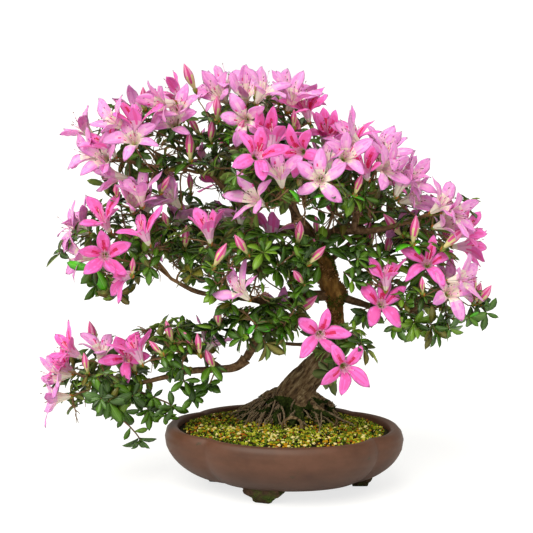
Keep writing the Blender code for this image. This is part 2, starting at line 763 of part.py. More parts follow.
def claim_limbs(claims):
    line, radii = trunk_line()
    claims.add("trunk", list(zip(line, line[1:], radii)))
    for bough in BOUGHS:
        line, radii = bough_line(bough)
        claims.add(bough.name, list(zip(line, line[1:], radii)))


# Pot, feet and soil ----------------------------------------------------------

def lobe_outline(share, grow=0.0):
    """Points round the pot at one level: an ellipse drawn in at each notch between two lobes."""
    points = []
    ends = POT_NOTCHES[1:] + (POT_NOTCHES[0] + 2 * math.pi,)
    for start, end, steps in zip(POT_NOTCHES, ends, POT_LOBE_STEPS):
        for k in range(steps):
            t = k / steps
            angle = start + (end - start) * t
            drawn = 1 - POT_NOTCH_DEPTH * (1 - math.sin(math.pi * t)) ** 2.5
            x = (POT_HALF_WIDTH * share * drawn + grow) * math.cos(angle)
            y = (POT_HALF_DEPTH * share * drawn + grow) * math.sin(angle)
            turned = angle_turn(x, y, POT_TURN)
            points.append((turned[0] + POT_CENTRE[0] * MM, turned[1] + POT_CENTRE[1] * MM))
    return points


def angle_turn(x, y, turn):
    return x * math.cos(turn) - y * math.sin(turn), x * math.sin(turn) + y * math.cos(turn)


def loft_rings(bm, levels):
    """Skin a stack of (outline, height) levels and close both ends."""
    rings = [[bm.verts.new((x, y, z)) for x, y in outline] for outline, z in levels]
    for low, high in zip(rings, rings[1:]):
        for k in range(len(low)):
            bm.faces.new((low[k - 1], low[k], high[k], high[k - 1]))
    bm.faces.new(list(reversed(rings[0])))
    bm.faces.new(rings[-1])


def add_pot(collection):
    bm = bmesh.new()
    loft_rings(bm, [(lobe_outline(share), z * MM) for share, z in POT_OUTER + POT_INNER])
    return add_object("pot", bm, collection, "pot_clay")


def inner_share(height):
    """How wide the pot's inner wall is at a height."""
    for (wide, high), (narrow, low) in zip(POT_INNER, POT_INNER[1:]):
        if low * MM <= height <= high * MM:
            return narrow + (wide - narrow) * (height / MM - low) / (high - low)
    raise ValueError("no inner wall at this height")


def add_soil(collection):
    """The soil that fills the pot, up to a flat top around the trunk's foot."""
    floor = POT_INNER[-1][1] * MM + GAP
    heights = [floor, 20 * MM, 40 * MM, SOIL_RIM]
    levels = [(lobe_outline(inner_share(z), -SOIL_FIT), z) for z in heights]
    levels.append((lobe_outline(0.80), SOIL_RIM + 2.5 * MM))
    levels.append((lobe_outline(SOIL_PLATEAU), SOIL_TOP))
    bm = bmesh.new()
    loft_rings(bm, levels)
    return add_object("soil", bm, collection, "soil_mix")


def foot_outline():
    """Half of a cloud-shaped bracket, from the middle of its base up its scalloped side."""
    half_base, half_top = FOOT_WIDTH_BASE / 2, FOOT_WIDTH_TOP / 2
    low = FOOT_HEIGHT * 0.55
    points = [(half_base, 0.0)]
    for k in range(1, 5):
        a = math.radians(-60 + 150 * k / 4)
        points.append((half_base + 3 * MM * math.cos(a), low * 0.45 + low * 0.45 * math.sin(a)))
    for k in range(4):
        a = math.radians(-70 + 110 * k / 3)
        points.append((half_top - 5 * MM + 5 * MM * math.cos(a), low * 1.55 + 3 * MM * math.sin(a)))
    points.append((half_top, FOOT_HEIGHT * 1.9))
    return points


def add_feet(collection, cutters):
    """Four brackets, each cut clear of the pot's underside."""
    side = foot_outline()
    outline = side + [(-x, z) for x, z in reversed(side)]
    for name, (x, y) in FOOT_PLACES:
        out = Vector((x, y, 0)).normalized()
        along = Vector((-out.y, out.x, 0))
        centre = Vector(((POT_CENTRE[0] + x) * MM, (POT_CENTRE[1] + y) * MM, 0))
        bm = bmesh.new()
        outer = [bm.verts.new(centre + along * w + Vector((0, 0, h)) + out * h * 0.35) for w, h in outline]
        inner = [bm.verts.new(centre + along * w + Vector((0, 0, h)) - out * FOOT_THICKNESS)
                 for w, h in outline]
        for k in range(len(outline)):
            bm.faces.new((outer[k - 1], outer[k], inner[k], inner[k - 1]))
        bm.faces.new(outer)
        bm.faces.new(list(reversed(inner)))
        foot = add_object(name, bm, collection, "pot_clay")
        shell = bmesh.new()
        levels = [(lobe_outline(share, GAP), z * MM - GAP) for share, z in POT_OUTER[:6]]
        loft_rings(shell, levels)
        cutter = add_object("cutter_pot", shell, cutters, "pot_clay")
        apply_boolean(foot, "DIFFERENCE", operand=cutter)
        remove_object(cutter)
        keep_outer_shell(foot)


def main():
    for old in list(bpy.data.objects):
        bpy.data.objects.remove(old)
    plant = new_collection(PLANT_COLLECTION)
    cutters = new_collection("cutters")
    add_pot(plant)
    add_feet(plant, cutters)
    add_soil(plant)
    add_trunk(plant)
    add_boughs(plant, cutters)
    claims = Claims()
    claim_limbs(claims)
    for mass in MASSES:
        add_mass(mass, claims, plant, cutters)


main()
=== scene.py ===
"""Looks of the azalea bonsai: bark, leaves, blooms, soil and clay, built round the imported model."""
import itertools
import math
import random
from collections import namedtuple

import bmesh
import bpy
import numpy as np
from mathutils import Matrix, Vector, noise


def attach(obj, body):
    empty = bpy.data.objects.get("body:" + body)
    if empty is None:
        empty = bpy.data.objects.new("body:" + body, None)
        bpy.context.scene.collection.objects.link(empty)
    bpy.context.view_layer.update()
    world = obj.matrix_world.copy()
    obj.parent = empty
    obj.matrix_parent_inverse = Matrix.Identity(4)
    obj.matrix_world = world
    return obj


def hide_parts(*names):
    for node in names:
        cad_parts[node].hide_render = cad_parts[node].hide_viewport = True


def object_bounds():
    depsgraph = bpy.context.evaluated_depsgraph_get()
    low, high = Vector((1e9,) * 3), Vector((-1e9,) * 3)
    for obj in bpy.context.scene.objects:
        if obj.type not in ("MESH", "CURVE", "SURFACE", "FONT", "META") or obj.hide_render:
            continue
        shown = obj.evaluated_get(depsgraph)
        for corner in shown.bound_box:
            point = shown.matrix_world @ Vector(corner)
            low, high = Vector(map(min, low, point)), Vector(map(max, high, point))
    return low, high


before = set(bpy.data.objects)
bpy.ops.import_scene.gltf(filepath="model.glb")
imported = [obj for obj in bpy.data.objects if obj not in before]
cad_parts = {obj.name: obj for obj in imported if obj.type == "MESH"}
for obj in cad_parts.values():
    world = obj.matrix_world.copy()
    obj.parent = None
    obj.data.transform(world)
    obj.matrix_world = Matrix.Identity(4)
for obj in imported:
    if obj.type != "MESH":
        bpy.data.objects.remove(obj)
cad_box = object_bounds()

MM = 0.001
SEED = 41

# Camera and studio ----------------------------------------------------------
CAMERA_PLACE = (0.0, -1.400, 0.430)
CAMERA_PITCH = math.radians(8.22)
FOCAL_PIXELS = 1400.0
IMAGE_PIXELS = 533.0
SENSOR = 36.0
SKY_LIGHT = 0.60
SKY_TINT = (1.0, 0.985, 0.90, 1)
KEY_TINT = (1.0, 0.98, 0.90)
SKY_SHOWN = 1.05
KEY_STRENGTH = 2.75
KEY_SOFTNESS = math.radians(50)
KEY_TURN = tuple(math.radians(a) for a in (38, -14, -12))
NEAR_CLIP = 0.05
FLOOR_SIZE = 30.0
FLOOR_GREY = 0.85
FLOOR_LIFT = 0.74
SHADOW_GREY = 0.38

# Plant: named sizes, the same as the part's source where it has them --------
# Tables are in millimetres and degrees; what is written with MM or radians() is in metres and radians
POT_CENTRE = (17.5, 0.0)
POT_HALF_WIDTH = 123.0 * MM
POT_HALF_DEPTH = 95.0 * MM
POT_TURN = math.radians(-9)
POT_NOTCHES = tuple(math.radians(a) for a in (53, 152, 233, 332))
POT_NOTCH_DEPTH = 0.07
POT_OUTER = ((0.66, 13), (0.75, 15), (0.855, 22), (0.94, 32), (0.99, 43), (1.0, 52),
             (0.985, 59), (0.955, 63), (0.925, 64))
POT_INNER = ((0.895, 62.5), (0.885, 58), (0.875, 40))
LOBE_STEPS = 45
POT_STEP = 0.022
POT_FINER = (0, 0.34, 0.67)
POT_MIDDLE = 35 * MM
SOIL_RIM = 57 * MM
SOIL_TOP = 63 * MM
SOIL_PLATEAU = 0.64
SOIL_EDGE = 0.868
SOIL_BED_LOW = 0.5 * MM
POT_RIPPLE = 0.25 * MM
FOOT_PLACES = (("pot_foot_front", (-22, -62)), ("pot_foot_right", (86, 1)),
               ("pot_foot_left", (-75, 17)), ("pot_foot_back", (24, 60)))
FOOT_HEIGHT = 13 * MM
FOOT_THICKNESS = 15 * MM
FOOT_WIDTH_TOP = 40 * MM
FOOT_BOSS_FLAT = 6.4 * MM
FOOT_BOSS = 4.0 * MM
FOOT_EAR = 3.6 * MM
FOOT_EAR_UP = 11 * MM
FOOT_EAR_FLARE = 1.7
FOOT_LEAN = 0.35
FOOT_ROUGHNESS = 0.45
FOOT_GRAIN = 420
FOOT_SLICES = 7
FOOT_ROUND_OFF = ((-0.6 * MM, 0.985), (0.0, 0.93))
RIPPLE_WAVES = (25, 25, 160)
SOIL_RINGS = 26
SOIL_OVERLAP = 0.02
SOIL_FLOOR = 45 * MM
SOIL_SWELL = 1.1 * MM
SOIL_WAVES = 45
GRAIN_REACH = 0.833
GRAINS = 4200
GRAIN_SHAPES = 24
MOSS_SHOOTS = 3000
TRUNK_MOSS = 5200
GRAIN_SIZES = (1.0, 1.3, 1.6, 2.1)
GRAIN_COLOURS = ("E6D690", "BEBA40", "88941A", "B48414", "5E6A14", "9A5616", "4A300C", "1A1806")
GRAIN_SHARES = (5, 6, 6, 5, 6, 3, 4, 6)
LIGHT_GRAINS = (0, 1)
DARK_GRAINS = (4, 5, 6)
SHADE_GRAIN = 7
SHADE_REACH = 46 * MM
MOSS_COLOURS = ("182508", "28390F", "48681A", "728C1E", "969E28", "8A6238", "5C4020", "AA8458")
SHADED_MOSS = (0, 0, 1)
SUNNY_MOSS = (1, 2, 2, 3, 3, 4)
BARK_FIBRES = (5, 5, 6, 7)
BARK_MOSS = (1, 2, 2, 5, 6)
TRUNK_FIBRES = 7000

TRUNK_LINE = (((22, 30, 56), 30), ((24, 30, 70), 27), ((27, 30, 84), 22), ((34, 28, 99), 17.5),
              ((44, 25, 111), 15.2), ((52, 21, 121), 13.6), ((60, 17, 133), 11.2),
              ((68, 13, 149), 9.2), ((72, 10, 165), 7.8), ((71, 6, 181), 7.4), ((68, 4, 197), 9.6),
              ((63, 3, 213), 10.4), ((58, 3, 230), 8.6), ((50, 4, 247), 7.2),
              ((40, 6, 261), 6.4), ((32, 8, 272), 5.4))
# Surface roots: heading in degrees, reach and radius
SURFACE_ROOTS = ((174, 66, 5.0), (188, 62, 4.5), (204, 58, 4.5), (150, 56, 5.0), (236, 46, 5.0),
                 (262, 42, 7.0), (284, 42, 6.0), (301, 47, 6.5), (318, 60, 6.0), (348, 54, 6.0),
                 (18, 48, 5.5), (58, 40, 5.5), (98, 40, 5.5), (126, 46, 5.0))
ROOT_CROWN = (30, 29, 99)
ROOT_FALL = ((0.0, 1.0), (0.30, 0.80), (0.58, 0.47), (0.82, 0.20), (1.0, -0.16))
ROOT_TAPER = (1.1, 0.8, 0.62, 0.46, 0.28)
ROOT_WANDER = 0.16
ROOT_LUMPS = 0.75
ROOTLETS = 5
LEFT_ROOTLETS = 17
ROOT_TWIST = 9 * MM
ROOTLET_RISE = 3.2 * MM
ROOTLET_STEPS = 8
ROOTLET_THICK = (0.6, 1.5)
ROOTLET_TAPER = 0.07
FLARE_SLIMMER = ((54, 0.86), (84, 0.86), (104, 0.96), (118, 1.0))
MOUND_RISE = 6 * MM
MOUND_REACH = 56 * MM
ROOT_BURIED = 2.2 * MM
ARCH_PLACE = Vector((0.026, -0.019, 0.067))
ARCH_TURNS = (-0.3, 0.3, 0.9, 1.6, 2.3, 2.9, 3.4)
ARCH_SPAN = 10 * MM
ARCH_RISE = 10 * MM
ARCH_RADII = (2.6, 1.9, 1.5, 2.1, 1.6, 1.4, 1.9)
KNOTS = (((70, 3, 200), 11.5), ((60, 2, 226), 10.5), ((50, 4, 250), 9.0), ((67, 13, 147), 10.2),
         ((41, 17, 100), 9), ((53, 16, 83), 8.5))
KNOT_SHAPE = ((-1, 0.2), (-0.7, 0.75), (0, 1.0), (0.7, 0.75), (1, 0.2))
TRUNK_SIDES = 36
ROOT_SIDES = 10
KNOT_SIDES = 14
ROOTLET_SIDES = 6
TRUNK_VOXEL = 0.95 * MM
TRUNK_SOFTENING = (0.6, 3)
FISSURE_SHARE = 12
MOSS_LINE = 86 * MM
MOSS_EDGE = 14
MOSS_FADE = 30 * MM
MOSS_SHELTER = (0.35, 0.7, 1.1)
MOSS_MIDDLE = (18 * MM, 2 * MM)
MOSS_SPREAD = 24 * MM
UPPER_BARK = 160 * MM
UPPER_EDGE = 12
BARK_DEPTH = 1.0 * MM
BARK_GRAIN = 340.0
BARK_STRETCH = 0.16
FULL_BARK_RADIUS = 7 * MM
TRUNK_LEAN = math.radians(38)
BOUGH_STEP = 1.8 * MM
BOUGH_SIDES = 14
BOUGH_LUMPS = (0.16, 0.14)
COLLAR_SWELL = 0.45
COLLAR_LENGTH = 7 * MM
COLLAR_MOST = 1.45

Bough = namedtuple("Bough", "name parent route thick thin")
BOUGHS = (
    Bough("bough_low_left_fall", "trunk",
          ((68, 4, 199), (48, 0, 197), (30, -5, 194), (14, -9, 189), (0, -13, 179), (-8, -16, 165),
           (-14, -19, 150), (-21, -20, 137)), 5.6, 4.2),
    Bough("bough_low_left_run", "bough_low_left_fall",
          ((-21, -20, 137), (-30, -21, 129), (-45, -21, 126.5), (-63, -22, 126),
           (-82, -22, 124), (-101, -22, 119), (-119, -21, 114), (-134, -20, 110)), 4.2, 2.0),
    Bough("bough_low_left_spur", "bough_low_left_run",
          ((-45, -21, 126.5), (-52, -23, 133), (-60, -25, 139)), 2.4, 1.8),
    Bough("bough_left", "bough_low_left_fall",
          ((8, -11, 186), (-8, -18, 196), (-28, -23, 200), (-50, -26, 202), (-70, -28, 207),
           (-86, -29, 215)), 3.8, 2.0),
    Bough("bough_low_centre", "trunk", ((69, 14, 145), (50, 6, 147), (32, -2, 148), (17, -12, 151)),
          2.4, 1.7),
    Bough("bough_centre_front", "trunk", ((54, 3, 238), (33, -13, 242), (12, -28, 249)), 3.4, 2.0),
    Bough("bough_top_left", "trunk",
          ((41, 6, 259), (18, 2, 265), (-3, -2, 271), (-27, -4, 291), (-50, -5, 315)), 4.6, 2.2),
    Bough("bough_top", "trunk", ((32, 8, 272), (25, 11, 292), (12, 11, 318)), 5.2, 2.4),
    Bough("bough_top_front", "trunk", ((45, 5, 254), (40, -16, 266), (29, -38, 288)), 3.6, 2.0),
    Bough("bough_right", "trunk",
          ((47, 5, 251), (66, 3, 262), (87, 0, 264), (110, -3, 265), (133, -5, 271)), 4.8, 2.2),
    Bough("bough_right_up", "bough_right", ((87, 0, 264), (91, 2, 281), (93, 4, 296)), 3.2, 2.2),
    Bough("bough_right_low", "trunk", ((68, 4, 197), (90, 0, 192), (114, -5, 185), (130, -7, 182)),
          4.4, 2.2),
    Bough("bough_back", "trunk", ((49, 4, 249), (44, 28, 264), (20, 50, 288)), 3.8, 2.0),
    Bough("bough_back_left", "trunk", ((63, 3, 213), (44, 26, 217), (8, 46, 226), (-26, 58, 236)),
          3.8, 2.0),
    Bough("bough_back_right", "trunk", ((59, 3, 228), (76, 24, 240), (98, 44, 256)), 3.4, 2.0),
)

Mass = namedtuple("Mass", "name centre reach tips foot")
MASSES = (
    Mass("mass_crown_top", (-12, 0, 376), (66, 58, 50), 11, "bough_top"),
    Mass("mass_crown_left", (-124, 0, 348), (76, 62, 62), 14, "bough_top_left"),
    Mass("mass_crown_right", (75, 0, 318), (63, 60, 58), 12, "bough_right_up"),
    Mass("mass_crown_front", (12, -72, 318), (74, 48, 56), 9, "bough_top_front"),
    Mass("mass_crown_back", (-6, 70, 322), (92, 50, 56), 11, "bough_back"),
    Mass("mass_far_right", (171, 0, 262), (51, 54, 49), 10, "bough_right"),
    Mass("mass_right_middle", (155, -5, 204), (74, 52, 49), 12, "bough_right_low"),
    Mass("mass_back_right", (118, 66, 270), (58, 50, 48), 8, "bough_back_right"),
    Mass("mass_centre_front", (-18, -52, 246), (78, 50, 58), 12, "bough_centre_front"),
    Mass("mass_left_middle", (-136, -8, 256), (80, 60, 54), 14, "bough_left"),
    Mass("mass_back_left", (-66, 70, 250), (68, 50, 44), 9, "bough_back_left"),
    Mass("mass_low_left_outer", (-174, -18, 112), (62, 50, 44), 10, "bough_low_left_run"),
    Mass("mass_low_left_inner", (-91, -22, 150), (58, 44, 33), 9, "bough_low_left_spur"),
    Mass("mass_low_centre", (-4, -46, 184), (54, 38, 31), 8, "bough_low_centre"),
    Mass("mass_trunk_spray", (70, -48, 154), (34, 30, 32), 5, "trunk"),
)
TRUNK_SPRAY_FOOT = ((72, 10, 161), (70, -8, 161))
TRUNK_SPRAY_STEM = 1.9 * MM
TRUNK_SPRAY_COLLAR = 24 * MM
COLLAR = 9 * MM
TIP_SHELL = 0.74
LOWER_HALF = 0.88
TIP_SPOTS = 90
UPWARD_LEAN = 0.45
OUTLINE_SPREAD = 0.55

FACINGS = {"front": (0, -1, 0.25), "front_left": (-0.5, -0.85, 0.2), "front_right": (0.5, -0.85, 0.2),
           "left": (-0.9, -0.4, 0.2), "right": (0.9, -0.4, 0.2), "up": (0, -0.4, 0.9),
           "up_left": (-0.6, -0.4, 0.7), "up_right": (0.6, -0.4, 0.7)}
# Blooms set one by one: place across and up and facing, as in the part's source but for one at the left of
# the crown, which is turned up here, then tint ("vivid" or "pale") and how far it is open
BLOOMS = {
    "mass_crown_top": ((-60, 403, "up_left", "pale", 0.8), (-41, 419, "up", "pale", 0.8),
                       (-19, 380, "front", "pale", 1.0), (0, 363, "front_right", "vivid", 1.0),
                       (0, 406, "up_right", "pale", 0.9), (25, 407, "up_right", "pale", 0.8),
                       (42, 391, "up", "vivid", 0.8)),
    "mass_crown_left": ((-95, 411, "up_left", "vivid", 0.5), (-108, 397, "left", "pale", 0.7),
                        (-128, 382, "up", "vivid", 0.6), (-150, 384, "up_left", "pale", 0.6),
                        (-127, 354, "front", "pale", 1.1), (-90, 371, "front", "pale", 1.0),
                        (-163, 357, "up_left", "vivid", 0.55), (-184, 340, "left", "pale", 0.7),
                        (-121, 316, "up", "pale", 0.5)),
    "mass_crown_right": ((62, 374, "up", "vivid", 0.5), (87, 361, "up", "vivid", 0.7),
                         (74, 340, "front", "pale", 1.0), (116, 332, "front_right", "pale", 0.9),
                         (123, 348, "up_right", "pale", 0.8), (142, 322, "right", "pale", 0.7)),
    "mass_crown_front": ((-12, 346, "front", "vivid", 1.0), (36, 352, "front", "vivid", 0.8),
                         (-10, 302, "front_left", "pale", 0.9), (51, 326, "front", "pale", 1.1)),
    "mass_far_right": ((173, 298, "up_right", "pale", 0.8), (196, 289, "right", "pale", 0.5),
                       (209, 262, "right", "vivid", 0.6), (219, 248, "right", "vivid", 0.5)),
    "mass_right_middle": ((114, 194, "front", "vivid", 1.1), (161, 233, "front", "vivid", 1.0),
                          (118, 228, "up", "vivid", 0.7), (193, 222, "right", "pale", 0.9),
                          (185, 205, "front_right", "pale", 1.0)),
    "mass_centre_front": ((-54, 286, "up", "vivid", 0.3), (-28, 220, "up_left", "pale", 0.8)),
    "mass_left_middle": ((-126, 271, "up_left", "vivid", 0.7), (-169, 282, "up_left", "vivid", 0.6),
                         (-159, 249, "front", "vivid", 0.7), (-148, 231, "left", "vivid", 0.6),
                         (-189, 244, "left", "pale", 0.7)),
    "mass_low_left_outer": ((-140, 139, "front", "vivid", 0.7), (-168, 150, "up", "pale", 0.6),
                            (-213, 134, "up_left", "vivid", 0.7), (-215, 104, "left", "pale", 0.7)),
    "mass_low_left_inner": ((-124, 156, "up", "vivid", 0.6), (-52, 158, "up", "pale", 0.2)),
    "mass_trunk_spray": ((52, 172, "front", "vivid", 1.1), (74, 141, "front", "vivid", 1.0)),
}
REAR_BLOOM_SHARE = 0.45
BLOOM_DEPTH = 15 * MM

# Finer growth seen from the front: blooms, buds and odd leaves, across and up in the plant's middle plane
MORE_BLOOMS = (
    (-166, 322, "left", "pale", 0.35), (-136, 310, "up", "pale", 0.3), (-54, 420, "up_left", "pale", 0.5),
    (36, 402, "up_right", "pale", 0.5), (57, 374, "up", "vivid", 0.4), (-22, 418, "up", "pale", 0.35),
    (79, 368, "up_left", "pale", 0.4), (112, 356, "up", "pale", 0.5), (137, 315, "right", "vivid", 0.5),
    (157, 313, "right", "pale", 0.5), (158, 297, "right", "pale", 0.5), (63, 343, "up", "pale", 0.6),
    (16, 333, "up", "pale", 0.4), (196, 272, "right", "pale", 0.35), (217, 203, "right", "pale", 0.4),
    (-104, 306, "up_left", "pale", 0.4), (-170, 338, "front_left", "pale", 0.6),
    (102, 338, "up", "vivid", 0.5), (146, 316, "up_right", "pale", 0.5), (-84, 396, "up", "pale", 0.6),
    (-222, 118, "left", "pale", 0.6), (-204, 148, "up_left", "vivid", 0.6))
BUDS = ((-76, 345, "up"), (-56, 363, "up"), (-70, 371, "up_left"), (-46, 384, "up_right"),
        (-74, 414, "up_left"), (-150, 308, "up"), (-106, 313, "up"), (-76, 312, "up"), (-84, 284, "up"),
        (-102, 278, "up_left"),
        (-82, 256, "up"), (-22, 250, "up_left"), (-50, 237, "up_right"), (92, 310, "up_right"),
        (32, 364, "up"), (24, 377, "up_left"), (106, 258, "up"), (122, 249, "up"), (148, 261, "up"),
        (184, 254, "right"), (32, 261, "up"), (46, 246, "up"), (34, 220, "up_left"), (162, 209, "up_right"),
        (211, 211, "up"), (52, 268, "up"), (216, 197, "right"), (-180, 151, "left"), (-186, 127, "up_left"),
        (-134, 128, "up"), (-110, 147, "up_left"), (-96, 160, "up"), (-78, 156, "up_left"), (-68, 147, "up"),
        (-48, 175, "up"), (-136, 229, "up"), (-8, 408, "up_right"), (-30, 369, "up"), (30, 359, "up_right"))
# Whorls of leaves set in the same way, each with its rise, and single leaves with their tone
SPRAYS = ((-125, 60, -0.6), (-146, 78, -0.3), (-162, 88, -0.2), (-137, 94, 0), (-112, 104, 0),
          (-92, 94, -0.3), (-72, 99, 0), (-102, 76, -0.5), (-117, 88, -0.3), (-84, 110, 0.2),
          (-60, 112, 0.3), (70, 252, 0.5), (80, 240, 0.3), (92, 236, 0.5), (76, 226, 0.2),
          (86, 214, 0.3), (60, 262, 0.6),
          (50, 254, 0.4), (42, 242, 0.3), (58, 244, 0.4), (96, 205, 0.4), (102, 226, 0.5), (72, 268, 0.6),
          (86, 256, 0.5), (54, 232, 0.2), (44, 226, 0.2), (36, 232, 0.4), (92, 190, 0.2), (100, 178, 0),
          (56, 272, 0.5), (110, 244, 0.4), (30, 206, 0.3), (38, 214, 0.3), (-36, 190, 0.4), (-50, 200, 0.4),
          (186, 164, -0.6), (206, 176, -0.3), (168, 168, -0.4), (216, 188, -0.2), (150, 170, -0.3),
          (-168, 214, -0.4), (-174, 226, -0.2), (-146, 206, -0.4))
LEAF_SPOTS = ((-89, 364, 5), (22, 306, 5), (8, 288, 7), (-60, 330, 5), (62, 300, 5), (84, 300, 5),
              (38, 270, 5), (-36, 398, 5))
# Clearings in the leaves: how far back each reaches, then its oval in the plant's middle plane, as place
# across and up, half width and half height. Some end at the wood, the others let the sky through.
SKY = 200
CLEARINGS = ((SKY, -62, 306, 15, 11), (SKY, -82, 321, 9, 7), (SKY, 33, 283, 11, 10), (SKY, 59, 265, 8, 5),
             (SKY, 78, 254, 8, 7), (SKY, 113, 260, 8, 6), (SKY, 78, 229, 10, 8), (SKY, 87, 215, 6, 8),
             (SKY, -101, 224, 13, 7), (SKY, -44, 218, 8, 9), (SKY, -18, 194, 17, 5), (SKY, -172, 304, 12, 9),
             (-6, 12, 275, 20, 9), (-6, 44, 272, 22, 10), (-6, 78, 272, 22, 10), (-6, 110, 270, 18, 9),
             (-6, 60, 232, 16, 16), (-4, 66, 208, 16, 16), (0, 72, 184, 15, 14), (-6, 92, 196, 14, 8),
             (-10, -62, 130, 26, 7))
# Ovals in which bare twigs show between the leaves: the added share of bare shoots, then the oval
WOODY = ((0.45, -79, 344, 56, 30), (0.45, 62, 288, 76, 26), (0.30, -92, 228, 78, 30),
         (0.15, 140, 240, 60, 50), (0.30, -100, 130, 50, 26))
# Ovals in which the rules deal no bloom
BLOOM_GAPS = ((-176, 362, 16, 16), (24, 258, 16, 14), (75, 155, 16, 18))
SPURS = 6
SPUR_RADII = (0.65 * MM, 0.55 * MM, 0.35 * MM)
SPUR_LENGTH = (5, 14)
SPUR_ANGLE = (30, 75)

FORK_AT = 0.5
TWIG_TIP = 0.9 * MM
TWIG_GROWTH = 0.42
TWIG_SIDES = 6
TWIG_STEP = 9 * MM
FINE_TWIG_SIDES = 4
FINE_TWIG_TIP = 0.7 * MM
FINE_TWIG_THICKEST = 1.5 * MM
FINE_TWIG_STEPS = 6
FINE_TWIG_WANDER = 0.018
FINE_TWIG_BEND = (0.38, 0.06, 0.22)

# Finer growth ---------------------------------------------------------------
FINE_DENSITY = 0.0150
FINE_SWELL = 0.16
FINE_SHELLS = (0.46, 0.68, 0.88)
OUTER_SHELL = 0.94
FINE_LEAN = 0.75
FINE_SPREAD = (0.9, 1.1)
FINE_BLOOM_SHARE = 0.26
FINE_BUD_SHARE = 0.12
BARE_SHARE = 0.3
BARE_BELOW = 0.25
BARE_OUTSIDE = 0.4
BLOOM_MIDDLE = 14
BUD_MIDDLE = 10
BLOOM_ROOM = 21 * MM
BUD_ROOM = 7 * MM
SIGHT_ROOM = 44 * MM
SIGHT_SHELL = 0.80
BLOOM_STANDS_IN = 20 * MM
LEAF_MEETS_BLOOM = 4 * MM
SPRAY_FRONT = -16 * MM
BLOOM_SINKS = 22 * MM
BUD_STANDS_IN = 14 * MM
SIGHT_SPREAD = 34 * MM
BOX_MARGIN = 1 * MM
LEAF_LENGTH = 19.5 * MM
SPOT_LEAF = 0.6
LEAF_SAG = -0.12
LEAF_SIZES = (0.8, 1.25)
LEAF_BENDS = (0.1, 1.1)
LEAF_FOLDS = (0.05, 0.6)
LEAF_WIDTH = 0.40
LEAF_THICKNESS = 0.35 * MM
LEAF_END = 0.85
WHORL = (6, 9)
WHORL_SPREAD = (62, 92)
WHORL_RISE = 34
WHORL_TURN = 2.4
OTHER_TONES = 0.4

Shoot = namedtuple("Shoot", "place aim kind tint opening")
Twig = namedtuple("Twig", "line radii tip")


def mm(point):
    return Vector(point) * MM


def heading(x, y, z):
    return Vector((x, y, z)).normalized()


def lifted(way, rise):
    """A direction with some lift added to it."""
    return (way + Vector((0, 0, rise))).normalized()


def jitter(rng, size=1.0):
    """A random offset inside a box."""
    return Vector([rng.uniform(-size, size) for axis in range(3)])


def rows_of(vectors):
    """Vectors as the rows of an array."""
    return np.array([tuple(v) for v in vectors])


# Materials ------------------------------------------------------------------

# Scale and reach of the uneven edge of the painted shade towards the pot's foot
SHADE_EDGE_PATCHES = 45.0
SHADE_EDGE_DRIFT = 12 * MM
MOSS_PATCHES = 60.0
MOSS_GRAIN = 700.0


def screen_colour(code):
    """A colour written as on a screen, turned to linear light."""
    parts = [int(code[i:i + 2], 16) / 255 for i in (0, 2, 4)]
    return [c / 12.92 if c <= 0.04045 else ((c + 0.055) / 1.055) ** 2.4 for c in parts] + [1.0]


def feed(tree, made, socket, value):
    """Set one input of a node, or link it to another node's output."""
    if isinstance(value, bpy.types.NodeSocket):
        tree.links.new(value, made.inputs[socket])
    else:
        made.inputs[socket].default_value = value


def node(tree, kind, **inputs):
    made = tree.nodes.new(kind)
    for name, value in inputs.items():
        feed(tree, made, name.replace("_", " "), value)
    return made


def new_material(name, roughness, specular):
    made = bpy.data.materials.new(name)
    made.use_nodes = True
    tree = made.node_tree
    shader = tree.nodes["Principled BSDF"]
    feed(tree, shader, "Roughness", roughness)
    feed(tree, shader, "Specular IOR Level", specular)
    return made, tree, shader


def own_places(tree, stretch=(1, 1, 1), lean=0.0):
    """Coordinates that stay with the piece, in metres, set upright from a lean and then stretched."""
    source = tree.nodes.new("ShaderNodeTexCoord")
    upright = node(tree, "ShaderNodeVectorRotate", Vector=source.outputs["Object"], Angle=-lean)
    upright.rotation_type = "Y_AXIS"
    places = node(tree, "ShaderNodeMapping", Vector=upright.outputs["Vector"], Scale=stretch)
    return places.outputs["Vector"]


def noise_pattern(tree, places, scale, detail=4.0, roughness=0.55):
    made = node(tree, "ShaderNodeTexNoise", Vector=places, Scale=scale, Detail=detail, Roughness=roughness)
    return made.outputs["Fac"]


def ramp(tree, value, *stops):
    made = node(tree, "ShaderNodeValToRGB", Fac=value)
    elements = made.color_ramp.elements
    while len(elements) < len(stops):
        elements.new(0.5)
    for element, (place, code) in zip(elements, stops):
        element.position = place
        element.color = screen_colour(code)
    return made.outputs["Color"]


def blended(tree, share, first, second):
    made = tree.nodes.new("ShaderNodeMix")
    made.data_type = "RGBA"
    for socket, value in (("Factor", share), ("A", first), ("B", second)):
        feed(tree, made, socket, value)
    return made.outputs["Result"]


def worked_out(tree, operation, first, second):
    made = tree.nodes.new("ShaderNodeMath")
    made.operation = operation
    feed(tree, made, 0, first)
    feed(tree, made, 1, second)
    return made.outputs["Value"]


def add_bump(tree, shader, height, distance):
    bump = node(tree, "ShaderNodeBump", Height=height, Strength=1.0, Distance=distance)
    feed(tree, shader, "Normal", bump.outputs["Normal"])


def tinted(name, code, roughness, specular=0.4, grain=900.0, relief=0.05 * MM, **weights):
    """A plain base colour with a fine relief: for what is too small to hold a pattern."""
    made, tree, shader = new_material(name, roughness, specular)
    feed(tree, shader, "Base Color", screen_colour(code))
    for socket, value in weights.items():
        feed(tree, shader, socket.replace("_", " "), value)
    add_bump(tree, shader, noise_pattern(tree, own_places(tree), grain, 2.0), relief)
    return made


